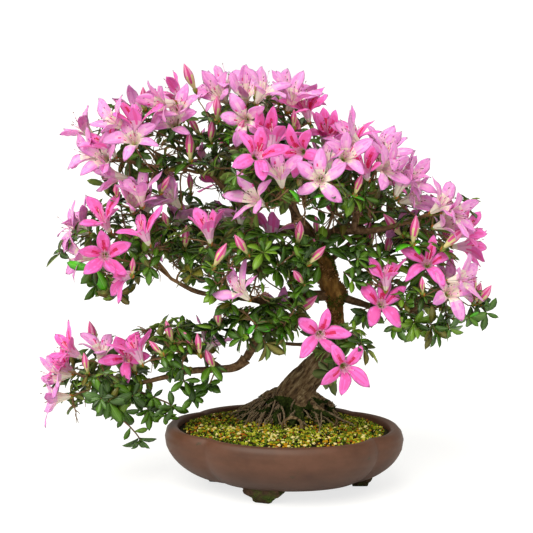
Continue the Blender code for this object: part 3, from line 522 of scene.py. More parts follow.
def low_painted_shade(tree, colour, low, high, code):
    """Painted shade: darken towards the foot, with an uneven edge."""
    source = tree.nodes.new("ShaderNodeTexCoord")
    parts = node(tree, "ShaderNodeSeparateXYZ", Vector=source.outputs["Object"])
    patches = noise_pattern(tree, own_places(tree), SHADE_EDGE_PATCHES, 6.0)
    drift = worked_out(tree, "MULTIPLY", patches, SHADE_EDGE_DRIFT)
    level = worked_out(tree, "ADD", parts.outputs["Z"], drift)
    share = node(tree, "ShaderNodeMapRange", Value=level, From_Min=low, From_Max=high)
    plain = tree.nodes.new("ShaderNodeRGB")
    plain.outputs[0].default_value = screen_colour(code)
    return blended(tree, share.outputs["Result"], plain.outputs[0], colour)


def mossy(tree, colour, low, high, code):
    """Green patches over a colour, dark and bright within themselves."""
    patches = noise_pattern(tree, own_places(tree), MOSS_PATCHES, 5.0)
    share = ramp(tree, patches, (low, "000000"), (high, "FFFFFF"))
    grain = noise_pattern(tree, own_places(tree), MOSS_GRAIN, 2.0)
    return blended(tree, share, colour, ramp(tree, grain, (0.3, "1C2A0C"), (0.7, code)))


def streaked(name, stops, scale, roughness, stretch=1, lean=0.0, specular=0.15, relief=0.4 * MM,
             moss=None, stain=None):
    """Bark, clay or soil: a stretched noise dealt into colours, and a finer one for its relief."""
    made, tree, shader = new_material(name, roughness, specular)
    places = own_places(tree, (1, 1, stretch), lean)
    colour = ramp(tree, noise_pattern(tree, places, scale, 8.0, 0.62), *stops)
    if moss:
        colour = mossy(tree, colour, *moss)
    # Painted shade: the colour darkens towards the foot
    if stain:
        colour = low_painted_shade(tree, colour, *stain)
    feed(tree, shader, "Base Color", colour)
    add_bump(tree, shader, noise_pattern(tree, places, scale * 3, 6.0, 0.6), relief)
    return made


# Leaf colours: blade, midrib and underside of each kind of shoot
LEAF_PARTS = (("blade", 0.26, 0.5), ("rib", 0.34, 0.5), ("under", 0.6, 0.2))
LEAF_TONES = (("436B1A", "577F28", "6A843E"), ("54801E", "689430", "7E9846"),
              ("2C4714", "3C5C1E", "596838"), ("709828", "86AC40", "98A856"),
              ("507236", "648446", "849660"), ("4EB414", "6CC030", "8ABA58"),
              ("6A6824", "7E7A30", "807A40"), ("CDB22A", "DCC94A", "B8A848"))
TONE_SHARES = (25, 22, 23, 12, 9, 1, 8, 0)
PETAL_COLOURS = {"throat": "E8EAB8", "cream": "F7E8D8", "blush": "F7B8DE", "pale": "F4A2DE",
                 "lilac": "E88CD4", "pink": "F976CC", "hot": "F562B6", "deep": "E4408C",
                 "crimson": "D02459"}
BLOSSOM_EXTRAS = {"filament": "F3C3D6", "anther": "7A4440", "calyx": "7C8A34", "scale": "B5702A",
                  "bud_pale": "EC94BE", "bud_deep": "D4488C", "bud_base": "D8CC90"}
BLOSSOM_SLOTS = {name: k for k, name in enumerate((*PETAL_COLOURS, *BLOSSOM_EXTRAS))}
PETAL_GLOW = {"Sheen_Weight": 0.15, "Subsurface_Weight": 0.3, "Subsurface_Radius": (1.0, 0.4, 0.5),
              "Subsurface_Scale": 2.0 * MM}


def leaf_materials():
    return [tinted(f"leaf_{part}_{k}", code, roughness, gloss, 1400.0, 0.12 * MM)
            for k, codes in enumerate(LEAF_TONES)
            for (part, roughness, gloss), code in zip(LEAF_PARTS, codes)]


def blossom_materials():
    petals = [tinted("petal_" + name, code, 0.5, 0.25, 1600.0, 0.08 * MM, **PETAL_GLOW)
              for name, code in PETAL_COLOURS.items()]
    return petals + [tinted(name, code, 0.5) for name, code in BLOSSOM_EXTRAS.items()]


# Joined meshes --------------------------------------------------------------

def add_object(name, data):
    made = bpy.data.objects.new(name, data)
    bpy.context.scene.collection.objects.link(made)
    return made


def add_piece(name, mesh, materials, face_slots, replaced, smooth=True):
    """A mesh with its materials, which rides with the plant and stands for the node that it replaces."""
    for material in materials:
        mesh.materials.append(material)
    mesh.polygons.foreach_set("material_index", np.asarray(face_slots, np.int32))
    if smooth:
        mesh.shade_smooth()
    mesh.update()
    piece = add_object(name, mesh)
    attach(piece, "root")
    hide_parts(replaced)


class Batch:
    """Many small shapes of triangles, joined into one piece."""

    def __init__(self):
        self.points = []
        self.triangles = []
        self.slots = []
        self.total = 0

    def add(self, points, triangles, slots):
        points = np.asarray(points, float).reshape(-1, 3)
        triangles = np.asarray(triangles, int)
        self.points.append(points)
        self.triangles.append(triangles + self.total)
        self.slots.append(np.broadcast_to(np.asarray(slots, int), (len(triangles),)))
        self.total += len(points)

    def mesh(self, name):
        made = bpy.data.meshes.new(name)
        made.from_pydata(np.concatenate(self.points), [], np.concatenate(self.triangles))
        return made

    def piece(self, name, materials, slot, replaced, smooth=True):
        add_piece(name, self.mesh(name), materials, np.concatenate(self.slots), replaced, smooth)


def grid_triangles(rows, columns, closed=False):
    """Triangles of a grid of points, whose columns may close round a tube."""
    triangles = []
    for row in range(rows - 1):
        for k in range(columns if closed else columns - 1):
            a, b = row * columns + k, row * columns + (k + 1) % columns
            triangles += [(a, b, b + columns), (a, b + columns, a + columns)]
    return np.array(triangles)


def fan(first, count, flip=False):
    """Triangles that close a ring of points from its first one."""
    ring = [(first, first + k, first + k + 1) for k in range(1, count - 1)]
    return [(a, c, b) for a, b, c in ring] if flip else ring


def turns_of(sides):
    return 2 * np.pi * np.arange(sides) / sides


def frames_along(line):
    """Way, and two directions across it, at each point of a line, with no sudden turn."""
    ways, sides, tops = [], [], []
    side = None
    for i in range(len(line)):
        way = (line[min(i + 1, len(line) - 1)] - line[max(i - 1, 0)]).normalized()
        side = (way.orthogonal() if side is None else side - way * side.dot(way)).normalized()
        ways.append(way)
        sides.append(side)
        tops.append(way.cross(side))
    return np.array(ways), np.array(sides), np.array(tops)


def tube(batch, line, radii, sides, slot=0, pattern=1):
    """A tapering tube with closed ends, whose radii may follow a pattern round it."""
    across, up = frames_along(line)[1:]
    turns = turns_of(sides)
    rims = across[:, None] * np.cos(turns)[None, :, None] + up[:, None] * np.sin(turns)[None, :, None]
    wide = np.array(radii)[:, None] * pattern
    points = np.array(line)[:, None] + rims * wide[..., None]
    rows = len(line)
    triangles = list(grid_triangles(rows, sides, True))
    first, last = rows * sides, rows * sides + 1
    top = (rows - 1) * sides
    for k in range(sides):
        triangles.append((first, (k + 1) % sides, k))
        triangles.append((last, top + k, top + (k + 1) % sides))
    batch.add(np.vstack([points.reshape(-1, 3), rows_of([line[0], line[-1]])]), triangles, slot)


# Camera, floor and light ----------------------------------------------------

def add_camera():
    data = bpy.data.cameras.new("camera")
    camera = add_object("camera", data)
    data.sensor_width = SENSOR
    data.lens = SENSOR * FOCAL_PIXELS / IMAGE_PIXELS
    data.clip_start = NEAR_CLIP
    camera.location = CAMERA_PLACE
    camera.rotation_euler = (math.radians(90) - CAMERA_PITCH, 0, 0)
    bpy.context.scene.camera = camera


def grey(value):
    return (value, value, value, 1)


def shown_or_lit(tree, lit, shown, output):
    """What the eye sees directly can differ from what lights the plant."""
    path = tree.nodes.new("ShaderNodeLightPath")
    mixed = tree.nodes.new("ShaderNodeMixShader")
    for socket, value in enumerate((path.outputs["Is Camera Ray"], lit, shown)):
        feed(tree, mixed, socket, value)
    feed(tree, tree.nodes[output], "Surface", mixed.outputs[0])


def add_sky():
    world = bpy.data.worlds.new("studio")
    bpy.context.scene.world = world
    world.use_nodes = True
    tree = world.node_tree
    lit = tree.nodes["Background"]
    feed(tree, lit, "Color", SKY_TINT)
    feed(tree, lit, "Strength", SKY_LIGHT)
    shown = node(tree, "ShaderNodeBackground", Color=grey(1), Strength=SKY_SHOWN)
    shown_or_lit(tree, lit.outputs[0], shown.outputs[0], "World Output")


def add_key_light():
    key = bpy.data.lights.new("key", "SUN")
    key.energy = KEY_STRENGTH
    key.color = KEY_TINT
    key.angle = KEY_SOFTNESS
    add_object("key", key).rotation_euler = KEY_TURN


def add_floor():
    bpy.ops.mesh.primitive_plane_add(size=FLOOR_SIZE)
    floor = bpy.context.object
    floor.name = "floor"
    pale, tree, plain = new_material("floor", 0.9, 0.0)
    feed(tree, plain, "Base Color", grey(FLOOR_GREY))
    bright = node(tree, "ShaderNodeEmission", Color=grey(1), Strength=FLOOR_LIFT)
    soft = node(tree, "ShaderNodeBsdfDiffuse", Color=grey(SHADOW_GREY))
    both = tree.nodes.new("ShaderNodeAddShader")
    feed(tree, both, 0, bright.outputs[0])
    feed(tree, both, 1, soft.outputs[0])
    shown_or_lit(tree, plain.outputs[0], both.outputs[0], "Material Output")
    floor.data.materials.append(pale)


# Limbs ----------------------------------------------------------------------

def smooth_line(points, values, step):
    """Points and radii along a Catmull-Rom curve, about one step apart."""
    line = []
    widths = []
    last = len(points) - 1
    for i in range(last):
        before = points[max(i - 1, 0)]
        start, end = points[i], points[i + 1]
        after = points[min(i + 2, last)]
        pieces = max(1, round((end - start).length / step))
        for k in range(pieces):
            t = k / pieces
            line.append(0.5 * (2 * start + (end - before) * t
                               + (2 * before - 5 * start + 4 * end - after) * t ** 2
                               + (3 * start - before - 3 * end + after) * t ** 3))
            widths.append(values[i] + (values[i + 1] - values[i]) * t)
    return line + [points[-1]], widths + [values[-1]]


def bough_line(bough, step=11 * MM):
    points = [mm(p) for p in bough.route]
    lengths = [0.0]
    for a, b in zip(points, points[1:]):
        lengths.append(lengths[-1] + (b - a).length)
    radii = [(bough.thick + (bough.thin - bough.thick) * s / lengths[-1]) * MM for s in lengths]
    return smooth_line(points, radii, step)


def tip_and_way(name):
    line, radii = bough_line(next(b for b in BOUGHS if b.name == name))
    return line[-1], (line[-1] - line[-2]).normalized(), radii[-1]


# Growth: the source's rule ---------------------------------------------------

def home_mass(point):
    """The mass whose space a point lies in: the one it is deepest in."""
    def depth(mass):
        offset = point - mm(mass.centre)
        return sum((offset[i] / (mass.reach[i] * MM)) ** 2 for i in range(3))
    return min(MASSES, key=depth)


def bloom_place(mass, x, z):
    """Where a bloom stands: on the front of its mass, or to and fro along the mass's outline."""
    centre, reach = mm(mass.centre), mm(mass.reach)
    across = ((x * MM - centre.x) / reach.x) ** 2 + ((z * MM - centre.z) / reach.z) ** 2
    forward = math.sqrt(max(0.0, TIP_SHELL - across))
    spread = OUTLINE_SPREAD * (1 - forward) * math.sin(x + 2 * z)
    return Vector((x * MM, centre.y - reach.y * (forward + spread), z * MM))


def bloom_shoot(place, facing, tint, opening):
    """A shoot whose bloom reaches a place: the less it is open, the further back it starts."""
    aim = Vector(FACINGS[facing]).normalized()
    depth = BLOOM_DEPTH + BLOOM_SINKS * max(0.0, 1 - opening)
    return Shoot(place - aim * depth, aim, "bloom", tint, opening)


def set_blooms(mass):
    return [bloom_shoot(bloom_place(mass, x, z), facing, tint, opening)
            for x, z, facing, tint, opening in BLOOMS.get(mass.name, ())]


def shell_way(k, count):
    """The k-th of some directions spread evenly all round."""
    height = 1 - 2 * (k + 0.5) / count
    ring = math.sqrt(1 - height * height)
    turn = math.pi * (3 - math.sqrt(5)) * k
    return Vector((ring * math.cos(turn), ring * math.sin(turn), height))


def any_tint(rng):
    return rng.choice(("pale", "pale", "vivid")), rng.uniform(0.5, 1.0)


def shoot_tips(mass, rng):
    """The tips that bear set blooms, and others spread evenly over the mass's outer layer."""
    centre, reach = mm(mass.centre), mm(mass.reach)
    looks = random.Random(f"tints {mass.name}")
    tips = set_blooms(mass)
    spots = []
    for k in range(TIP_SPOTS):
        way = shell_way(k, TIP_SPOTS)
        share = TIP_SHELL * (LOWER_HALF if way.z < 0 else 1.0) * rng.uniform(0.88, 1.0)
        place = centre + Vector([way[i] * reach[i] * share for i in range(3)])
        if home_mass(place) is mass:
            spots.append((place, way))
    while len(tips) < mass.tips and spots:
        if tips:
            spot = max(spots, key=lambda s: min((s[0] - tip.place).length for tip in tips))
        else:
            spot = spots[0]
        spots.remove(spot)
        place, way = spot
        aim = lifted(way, UPWARD_LEAN)
        rear = way.y > 0.1 and way.z > -0.3
        blooms = rear and rng.random() < REAR_BLOOM_SHARE and may_bloom(place)
        kind = "bloom" if blooms else "leaves"
        back = aim * BLOOM_DEPTH if blooms else Vector()
        tips.append(Shoot(place - back, aim, kind, *any_tint(looks)))
    return [held_in(tip) for tip in tips]


def held_in(tip):
    """A bloom's tip drawn in until its petals keep to the model's box."""
    if tip.kind != "bloom":
        return tip
    low, high = cad_box
    around, ahead = bloom_outline(tip.opening)
    place = tip.place.copy()
    for i in range(3):
        across = math.sqrt(max(0.0, 1 - tip.aim[i] ** 2))
        above = max(ahead * tip.aim[i] + around * across)
        below = max(around * across - ahead * tip.aim[i])
        place[i] = min(max(place[i], low[i] - BOX_MARGIN + below), high[i] + BOX_MARGIN - above)
    return tip._replace(place=place)


def thirds(tips):
    """Up to three groups of tips, split across the way in which they spread most."""
    places = rows_of(tip.place for tip in tips)
    spread = places - places.mean(axis=0)
    way = np.linalg.svd(spread, full_matrices=False)[2][0]
    order = sorted(range(len(tips)), key=lambda i: float(spread[i] @ way))
    cuts = [round(len(tips) * k / 3) for k in range(4)]
    groups = [[tips[i] for i in order[low:high]] for low, high in zip(cuts, cuts[1:])]
    return sorted((group for group in groups if group), key=len)


def fork(start, tips, trail, twigs):
    """Grow on from a fork: the fullest group goes on as the same twig, the others leave it."""
    trail = trail + [(start, len(tips))]
    groups = thirds(tips)
    for group in groups:
        behind = trail if group is groups[-1] else [(start, len(group))]
        if len(group) == 1:
            twigs.append((behind + [(group[0].place, 1)], group[0]))
        else:
            middle = sum((tip.place for tip in group), Vector()) / len(group)
            fork(start.lerp(middle, FORK_AT), group, behind, twigs)


def stem_foot(mass):
    """Where a mass leaves its bough or the trunk, which way, and how thick its stem is there."""
    if mass.foot == "trunk":
        start, toward = (mm(p) for p in TRUNK_SPRAY_FOOT)
        return start, (toward - start).normalized(), TRUNK_SPRAY_STEM
    return tip_and_way(mass.foot)


def grow_twigs(mass, tips):
    """All twigs of a mass, each as thick as the number of tips that it bears asks for."""
    foot, way, stem_radius = stem_foot(mass)
    collar = foot + way * (TRUNK_SPRAY_COLLAR if mass.foot == "trunk" else COLLAR)
    found = []
    fork(collar, tips, [(foot, len(tips))], found)
    twigs = []
    for trail, tip in found:
        radii = [max(stem_radius * (load / len(tips)) ** TWIG_GROWTH, TWIG_TIP) for point, load in trail]
        twigs.append(Twig([point for point, load in trail], radii, tip))
    return twigs


# Growth: finer twigs within the same reach -----------------------------------

def sight_place(x, z):
    """Where the sight line through a point of the plant's middle plane meets a mass, and that mass."""
    eye = Vector(CAMERA_PLACE)
    through = Vector((x * MM, 0, z * MM))
    way = (through - eye).normalized()
    met = []
    for mass in MASSES:
        centre, reach = mm(mass.centre), mm(mass.reach)
        ahead = Vector([way[i] / reach[i] for i in range(3)])
        offset = Vector([(eye[i] - centre[i]) / reach[i] for i in range(3)])
        half = ahead.dot(offset)
        square = half * half - ahead.dot(ahead) * (offset.dot(offset) - SIGHT_SHELL ** 2)
        if square > 0:
            met.append(((-half - math.sqrt(square)) / ahead.dot(ahead), mass.name))
    if not met:
        return through + way * SIGHT_SPREAD * math.sin(x + 2 * z), home_mass(through).name
    distance, name = min(met)
    return eye + way * distance, name


def sight_shoots():
    """Blooms, buds, whorls and odd leaves set by sight, under the name of the mass that bears each."""
    shoots = {mass.name: [] for mass in MASSES}
    for x, z, facing, tint, opening in MORE_BLOOMS:
        place, name = sight_place(x, z)
        shoots[name].append(bloom_shoot(place, facing, tint, opening))
    for x, z, facing in BUDS:
        place, name = sight_place(x, z)
        aim = (Vector(FACINGS[facing]) * 0.6 + Vector((0, -0.1, 0.7))).normalized()
        shoots[name].append(Shoot(place - aim * BUD_LENGTH / 2, aim, "bud", "vivid", 0))
    for x, z, rise in SPRAYS:
        place, name = sight_place(x, z)
        place.y = min(place.y, SPRAY_FRONT)
        shoots[name].append(Shoot(place, heading(0.2, -0.6, rise + 0.1), "spray", None, 0))
    for x, z, tone in LEAF_SPOTS:
        place, name = sight_place(x, z)
        shoots[name].append(Shoot(place, heading(0.1, -0.5, 0.8), "spot", tone, 0))
    return shoots


def sight_rooms(shoots):
    """Rods of room in front of each bloom and bud that has its own place, which leaves keep out of."""
    eye = Vector(CAMERA_PLACE)
    starts, ends, rooms = [], [], []
    own = [shoot for mass in MASSES for shoot in set_blooms(mass)]
    for shoot in own + [shoot for part in shoots.values() for shoot in part]:
        if shoot.kind in ("spot", "spray"):
            continue
        middle_at, room = (BLOOM_MIDDLE, BLOOM_ROOM) if shoot.kind == "bloom" else (BUD_MIDDLE, BUD_ROOM)
        middle = shoot.place + shoot.aim * middle_at * MM
        starts.append(middle)
        ends.append(middle + (eye - middle).normalized() * SIGHT_ROOM)
        rooms.append(room)
    return np.array(starts), np.array(ends), np.array(rooms)


def clearance(points, starts, ends, rooms):
    """Least distance from each point to the skin of any of some rods."""
    way = ends - starts
    size = (way * way).sum(axis=1)
    offset = points[:, None] - starts[None]
    share = np.clip((offset * way[None]).sum(axis=2) / size[None], 0, 1)
    away = np.linalg.norm(offset - share[..., None] * way[None], axis=2)
    return (away - rooms[None]).min(axis=1)


def in_oval(points, x, z, wide, high):
    """Which points the camera sees inside an oval of the plant's middle plane."""
    eye = np.array(CAMERA_PLACE)
    way = points - eye
    seen = eye - way * (eye[1] / way[:, 1])[:, None]
    return ((seen[:, 0] / MM - x) / wide) ** 2 + ((seen[:, 2] / MM - z) / high) ** 2 < 1


def in_clearing(points):
    """Which points stand before the wood or the sky that shows through a clearing."""
    found = np.zeros(len(points), bool)
    for back, *oval in CLEARINGS:
        found |= in_oval(points, *oval) & (points[:, 1] < back * MM)
    return found


def may_bloom(place):
    """Whether the rules may deal a bloom here, by where the camera sees it."""
    return not any(in_oval(rows_of([place]), *oval)[0] for oval in BLOOM_GAPS)


def in_box(points, margin):
    """Which points lie inside the model's box, grown by a margin."""
    low, high = np.array(cad_box[0]) - margin, np.array(cad_box[1]) + margin
    return ((points > low) & (points < high)).all(axis=-1)


def fine_tips(mass, rooms, rng):
    """More shoot tips, on three shells of the mass, clear of the set blooms."""
    centre, reach = mm(mass.centre), mm(mass.reach)
    size = (mass.reach[0] * mass.reach[1] * mass.reach[2]) ** (2 / 3)
    count = round(FINE_DENSITY * size)
    tips = []
    for k in range(count):
        way = shell_way(k, count)
        swell = noise.noise(way * 2.2 + centre * 30) * FINE_SWELL
        share = min(FINE_SHELLS[k % 3] * (rng.uniform(*FINE_SPREAD) + swell), OUTER_SHELL)
        place = centre + Vector([way[i] * reach[i] * share for i in range(3)])
        spot = rows_of([place])
        if home_mass(place) is not mass or clearance(spot, *rooms)[0] < 0:
            continue
        clear = in_clearing(spot)[0]
        if clear and k % 2:
            continue
        stray = Vector((rng.uniform(-0.5, 0.5), rng.uniform(-0.5, 0.5), rng.uniform(-0.3, 0.4)))
        aim = (way + Vector((0, 0, FINE_LEAN)) + stray).normalized()
        outer = k % 3 == 2 and way.z > -0.2
        draw = rng.random()
        bare = (BARE_SHARE + (BARE_BELOW if way.z < -0.25 else 0)) * (1 if k % 3 < 2 else BARE_OUTSIDE)
        bare += sum(share for share, *oval in WOODY if in_oval(spot, *oval)[0])
        kind = "bare" if draw < bare or clear else "leaves"
        tint, opening = any_tint(rng)
        if outer and draw < FINE_BUD_SHARE:
            kind = "bud"
            place = place - aim * BUD_STANDS_IN
        elif outer and way.y > -0.1 and draw < FINE_BUD_SHARE + FINE_BLOOM_SHARE and may_bloom(place):
            kind = "bloom"
            place = place - aim * (BLOOM_STANDS_IN + BLOOM_SINKS * (1 - opening))
        tips.append(Shoot(place, aim, kind, tint, opening))
    return tips


def rod_table(twigs):
    """Starts, ways and radii of the straight parts of some twigs."""
    pairs = [(a, b, r) for line, radii, tip in twigs for a, b, r in zip(line, line[1:], radii)]
    starts = rows_of(a for a, b, r in pairs)
    return starts, rows_of(b for a, b, r in pairs) - starts, [r for a, b, r in pairs]


def fine_twig(tip, starts, ways, radii, rng):
    """A thin twig that leaves the nearest one in its own direction and bends to its tip."""
    place = np.array(tuple(tip.place))
    share = np.clip(((place - starts) * ways).sum(axis=1) / (ways * ways).sum(axis=1), 0.1, 0.9)
    spots = starts + share[:, None] * ways
    nearest = int(np.argmin(np.linalg.norm(spots - place, axis=1)))
    foot = Vector(spots[nearest])
    way = Vector(ways[nearest]).normalized()
    reach = (tip.place - foot).length
    leave, rise, arrive = FINE_TWIG_BEND
    bend = foot + way * reach * leave + Vector((0, 0, reach * rise))
    approach = tip.place - tip.aim * reach * arrive
    last = FINE_TWIG_STEPS - 1
    line = []
    for k in range(FINE_TWIG_STEPS):
        t = k / last
        point = (foot * (1 - t) ** 3 + bend * 3 * t * (1 - t) ** 2 + approach * 3 * t * t * (1 - t)
                 + tip.place * t ** 3)
        wander = jitter(rng) * reach * FINE_TWIG_WANDER
        line.append(point + (wander if 0 < k < last else Vector()))
    thick = min(radii[nearest] * 0.85, FINE_TWIG_THICKEST)
    return Twig(line, [thick + (FINE_TWIG_TIP - thick) * k / last for k in range(FINE_TWIG_STEPS)], tip)


def spurs(twig, rng):
    """Short side twigs of a bare twig."""
    made = []
    for k in range(SPURS):
        low = rng.randrange(1, len(twig.line) - 1)
        foot = twig.line[low].lerp(twig.line[low + 1], rng.random())
        ahead = (twig.line[low + 1] - twig.line[low]).normalized()
        turn = rng.uniform(0, 2 * math.pi)
        way = perpendicular_ring(ahead, turn, math.radians(rng.uniform(*SPUR_ANGLE)))
        reach = rng.uniform(*SPUR_LENGTH) * MM
        middle = foot + way * reach * 0.5
        onward = (way + ahead * rng.uniform(0.2, 0.9)).normalized()
        made.append([foot, middle, middle + onward * reach * 0.5])
    return [line for line in made if in_box(rows_of(line[-1:]), 0)[0]]


def bent_twig(twig, rng):
    """A coarse twig with the slight bends that a straight run between two forks hides."""
    line, radii = smooth_line(twig.line, twig.radii, TWIG_STEP)
    for k in range(1, len(line) - 1):
        line[k] = line[k] + jitter(rng) * 0.7 * MM
    radii[-1] = 0.8 * MM
    return Twig(line, radii, twig.tip)


# Leaves ---------------------------------------------------------------------

LEAF_STATIONS = (0.0, 0.14, 0.36, 0.60, 0.82, 1.0)
LEAF_OUTLINE = (0.05, 0.34, 0.80, 1.0, 0.74, 0.0)
RIB_WIDTH = 0.05


def leaf_template():
    """Points as (along, across, lift, layer), and triangles with their part: blade, rib or under."""
    points = [(0.0, 0.0, 0.0, 0.0)]
    for s, w in zip(LEAF_STATIONS[1:-1], LEAF_OUTLINE[1:-1]):
        rib = RIB_WIDTH * (1.15 - s)
        points += [(s, -w / 2, 1.0, 0.0), (s, -rib, 0.0, 0.0), (s, rib, 0.0, 0.0), (s, w / 2, 1.0, 0.0),
                   (s, 0.0, 0.0, -1.0)]
    points.append((1.0, 0.0, 0.0, 0.0))
    tip = len(points) - 1
    rows = [[1 + 5 * k + j for j in range(5)] for k in range(4)]
    triangles, parts = [], []
    kinds = (0, 1, 0)
    for low, high in zip(rows, rows[1:]):
        for j in range(3):
            triangles += [(low[j], low[j + 1], high[j + 1]), (low[j], high[j + 1], high[j])]
            parts += [kinds[j]] * 2
        triangles += [(low[0], high[0], high[4]), (low[0], high[4], low[4]),
                      (low[4], high[4], high[3]), (low[4], high[3], low[3])]
        parts += [2] * 4
    first, last = rows[0], rows[-1]
    for j in range(3):
        triangles += [(0, first[j + 1], first[j]), (last[j], last[j + 1], tip)]
        parts += [kinds[j]] * 2
    triangles += [(0, first[0], first[4]), (0, first[4], first[3]),
                  (last[4], last[0], tip), (last[3], last[4], tip)]
    parts += [2] * 4
    return np.array(points), np.array(triangles), np.array(parts)


LEAF = leaf_template()


class Leaves:
    """Leaves of one mass: each is a place, a way, a face, sizes and a tone."""

    def __init__(self):
        self.rows = []

    def add(self, root, way, face, length, width, bend, fold, tone):
        side = way.cross(face).normalized()
        top = side.cross(way).normalized()
        self.rows.append((*root, *way, *side, *top, length, width, bend, fold, tone))

    def batch(self, rooms):
        """The leaves whose ends are clear of blooms and clearings and keep to the model's box."""
        rows = np.array(self.rows)
        ends = rows[:, 0:3] + rows[:, 3:6] * rows[:, 12:13] * LEAF_END
        kept = (clearance(ends, *rooms) > -LEAF_MEETS_BLOOM) & in_box(ends, BOX_MARGIN)
        rows = rows[kept & ~in_clearing(ends)]
        points, triangles, parts = LEAF
        root, way, side, top = (rows[:, k:k + 3][:, None] for k in (0, 3, 6, 9))
        length, width, bend, fold, tone = (rows[:, k][:, None] for k in range(12, 17))
        along, across, lift, layer = (points[:, k][None] for k in range(4))
        ahead = np.sin(bend * along) / bend * length
        droop = (np.cos(bend * along) - 1) / bend * length
        out = across * width * length
        rise = droop + lift * np.abs(out) * fold + layer * LEAF_THICKNESS
        places = root + way * ahead[..., None] + side * out[..., None] + top * rise[..., None]
        offsets = np.arange(len(rows))[:, None, None] * len(points)
        slots = parts[None] + len(LEAF_PARTS) * tone.astype(int)
        made = Batch()
        made.add(places, (triangles[None] + offsets).reshape(-1, 3), slots.reshape(-1))
        return made


def perpendicular_ring(aim, turn, spread):
    """A way that leaves an aim by some spread, at some turn round it."""
    across, up = ways_across(aim)
    return aim * math.cos(spread) + (across * math.cos(turn) + up * math.sin(turn)) * math.sin(spread)


def any_tone(rng):
    return rng.choices(range(len(LEAF_TONES)), TONE_SHARES)[0]


def add_whorl(leaves, twig, rng, count, tone=None, scale=1.0):
    """Leaves crowded at a shoot's tip, the outer ones long and low, the inner ones short."""
    tip = twig.tip
    end, before = twig.line[-1], twig.line[-2]
    common = any_tone(rng) if tone is None else tone
    roll = rng.uniform(0, 2 * math.pi)
    size = rng.uniform(*LEAF_SIZES) * scale
    reach = rng.uniform(*WHORL_SPREAD)
    for k in range(count):
        inner = k / count
        spread = math.radians(reach - WHORL_RISE * inner + rng.uniform(-18, 18))
        turn = roll + WHORL_TURN * k + rng.uniform(-0.45, 0.45)
        way = lifted(perpendicular_ring(tip.aim, turn, spread), LEAF_SAG)
        length = LEAF_LENGTH * size * (1.15 - 0.45 * inner) * rng.uniform(0.8, 1.15)
        own = any_tone(rng) if tone is None and rng.random() > 1 - OTHER_TONES else common
        root = end + (before - end) * min(0.4, 0.07 * (count - k))
        width = LEAF_WIDTH * rng.uniform(0.8, 1.15)
        bend, fold = rng.uniform(*LEAF_BENDS), rng.uniform(*LEAF_FOLDS)
        leaves.add(root, way, tip.aim, length, width, bend, fold, own)


def add_stem_leaves(leaves, twig, rng, count):
    """A few leaves along the last part of a twig."""
    low = max(0, len(twig.line) - 3)
    for k in range(count):
        root = twig.line[low].lerp(twig.line[low + 1], rng.uniform(0.1, 0.9))
        turn = rng.uniform(0, 2 * math.pi)
        way = perpendicular_ring(twig.tip.aim, turn, math.radians(rng.uniform(45, 80)))
        tone = any_tone(rng)
        length = LEAF_LENGTH * rng.uniform(0.6, 0.95)
        face, bend = lifted(twig.tip.aim, 0.6), rng.uniform(0.2, 0.8)
        leaves.add(root, way, face, length, LEAF_WIDTH, bend, 0.3, tone)


# Blossom --------------------------------------------------------------------

PETALS = 5
PETAL_FLARES = (1.0, 0.55, 0.0, 0.0, 0.55)
PETAL_STEPS = 15
PETAL_COLUMNS = 9
PETAL_LENGTH = 41 * MM
PETAL_WIDTH = 13.4 * MM
PETAL_RIPPLE = 0.9 * MM
PETAL_SWINGS = (0.0, -0.16, -0.04, 0.04, 0.16)
PETAL_THICKNESS = 0.4 * MM
PETAL_VEINS = 3
PETAL_LENGTHS = (0.86, 1.08)
PETAL_WIDTHS = (0.84, 1.14)
PETAL_GROOVE = 0.12
PETAL_CURL = (-0.12, 0.46)
PETAL_TWIST = 0.55
PETAL_SWAY = 0.20
SHUT_LEAN = 22
OPEN_LEAN = 64
TIP_CURL = math.radians(34)
TUBE_SHARE = 0.36
TUBE_LEAN = math.radians(17)
TUBE_FOOT = 1.5 * MM
TUBE_ROUND = 0.8
LOBE_AT = (0.0, 0.12, 0.30, 0.50, 0.68, 0.82, 0.92, 1.0)
LOBE_WIDE = (0.60, 0.72, 0.92, 1.0, 0.88, 0.62, 0.34, 0.02)
STAMENS = 6
STYLE_LENGTH = 26
STAMEN_LENGTH = 20
FILAMENT_AT = (0.0, 0.33, 0.66, 1.0)
FILAMENT_RADII = (0.32 * MM,) * 4
ANTHER = ((-0.8 * MM, 0.25 * MM), (0.2 * MM, 0.55 * MM), (1.4 * MM, 0.2 * MM))
BUD_PROFILE = ((0.0, 0.26), (0.12, 0.42), (0.28, 0.72), (0.46, 0.96), (0.58, 1.0), (0.74, 0.78),
               (0.87, 0.44), (0.96, 0.18), (1.0, 0.05))
BUD_SIDES = 10
BUD_RIDGE = 0.10
BUD_WIND = 0.9
BUD_OPENING = 0.25
BLOOM_NOD = 0.30
BUD_NOD = 0.38
BUD_LENGTH = 25 * MM
BUD_WIDTH = 7.6 * MM


def smooth_step(values):
    values = np.clip(values, 0, 1)
    return values * values * (3 - 2 * values)


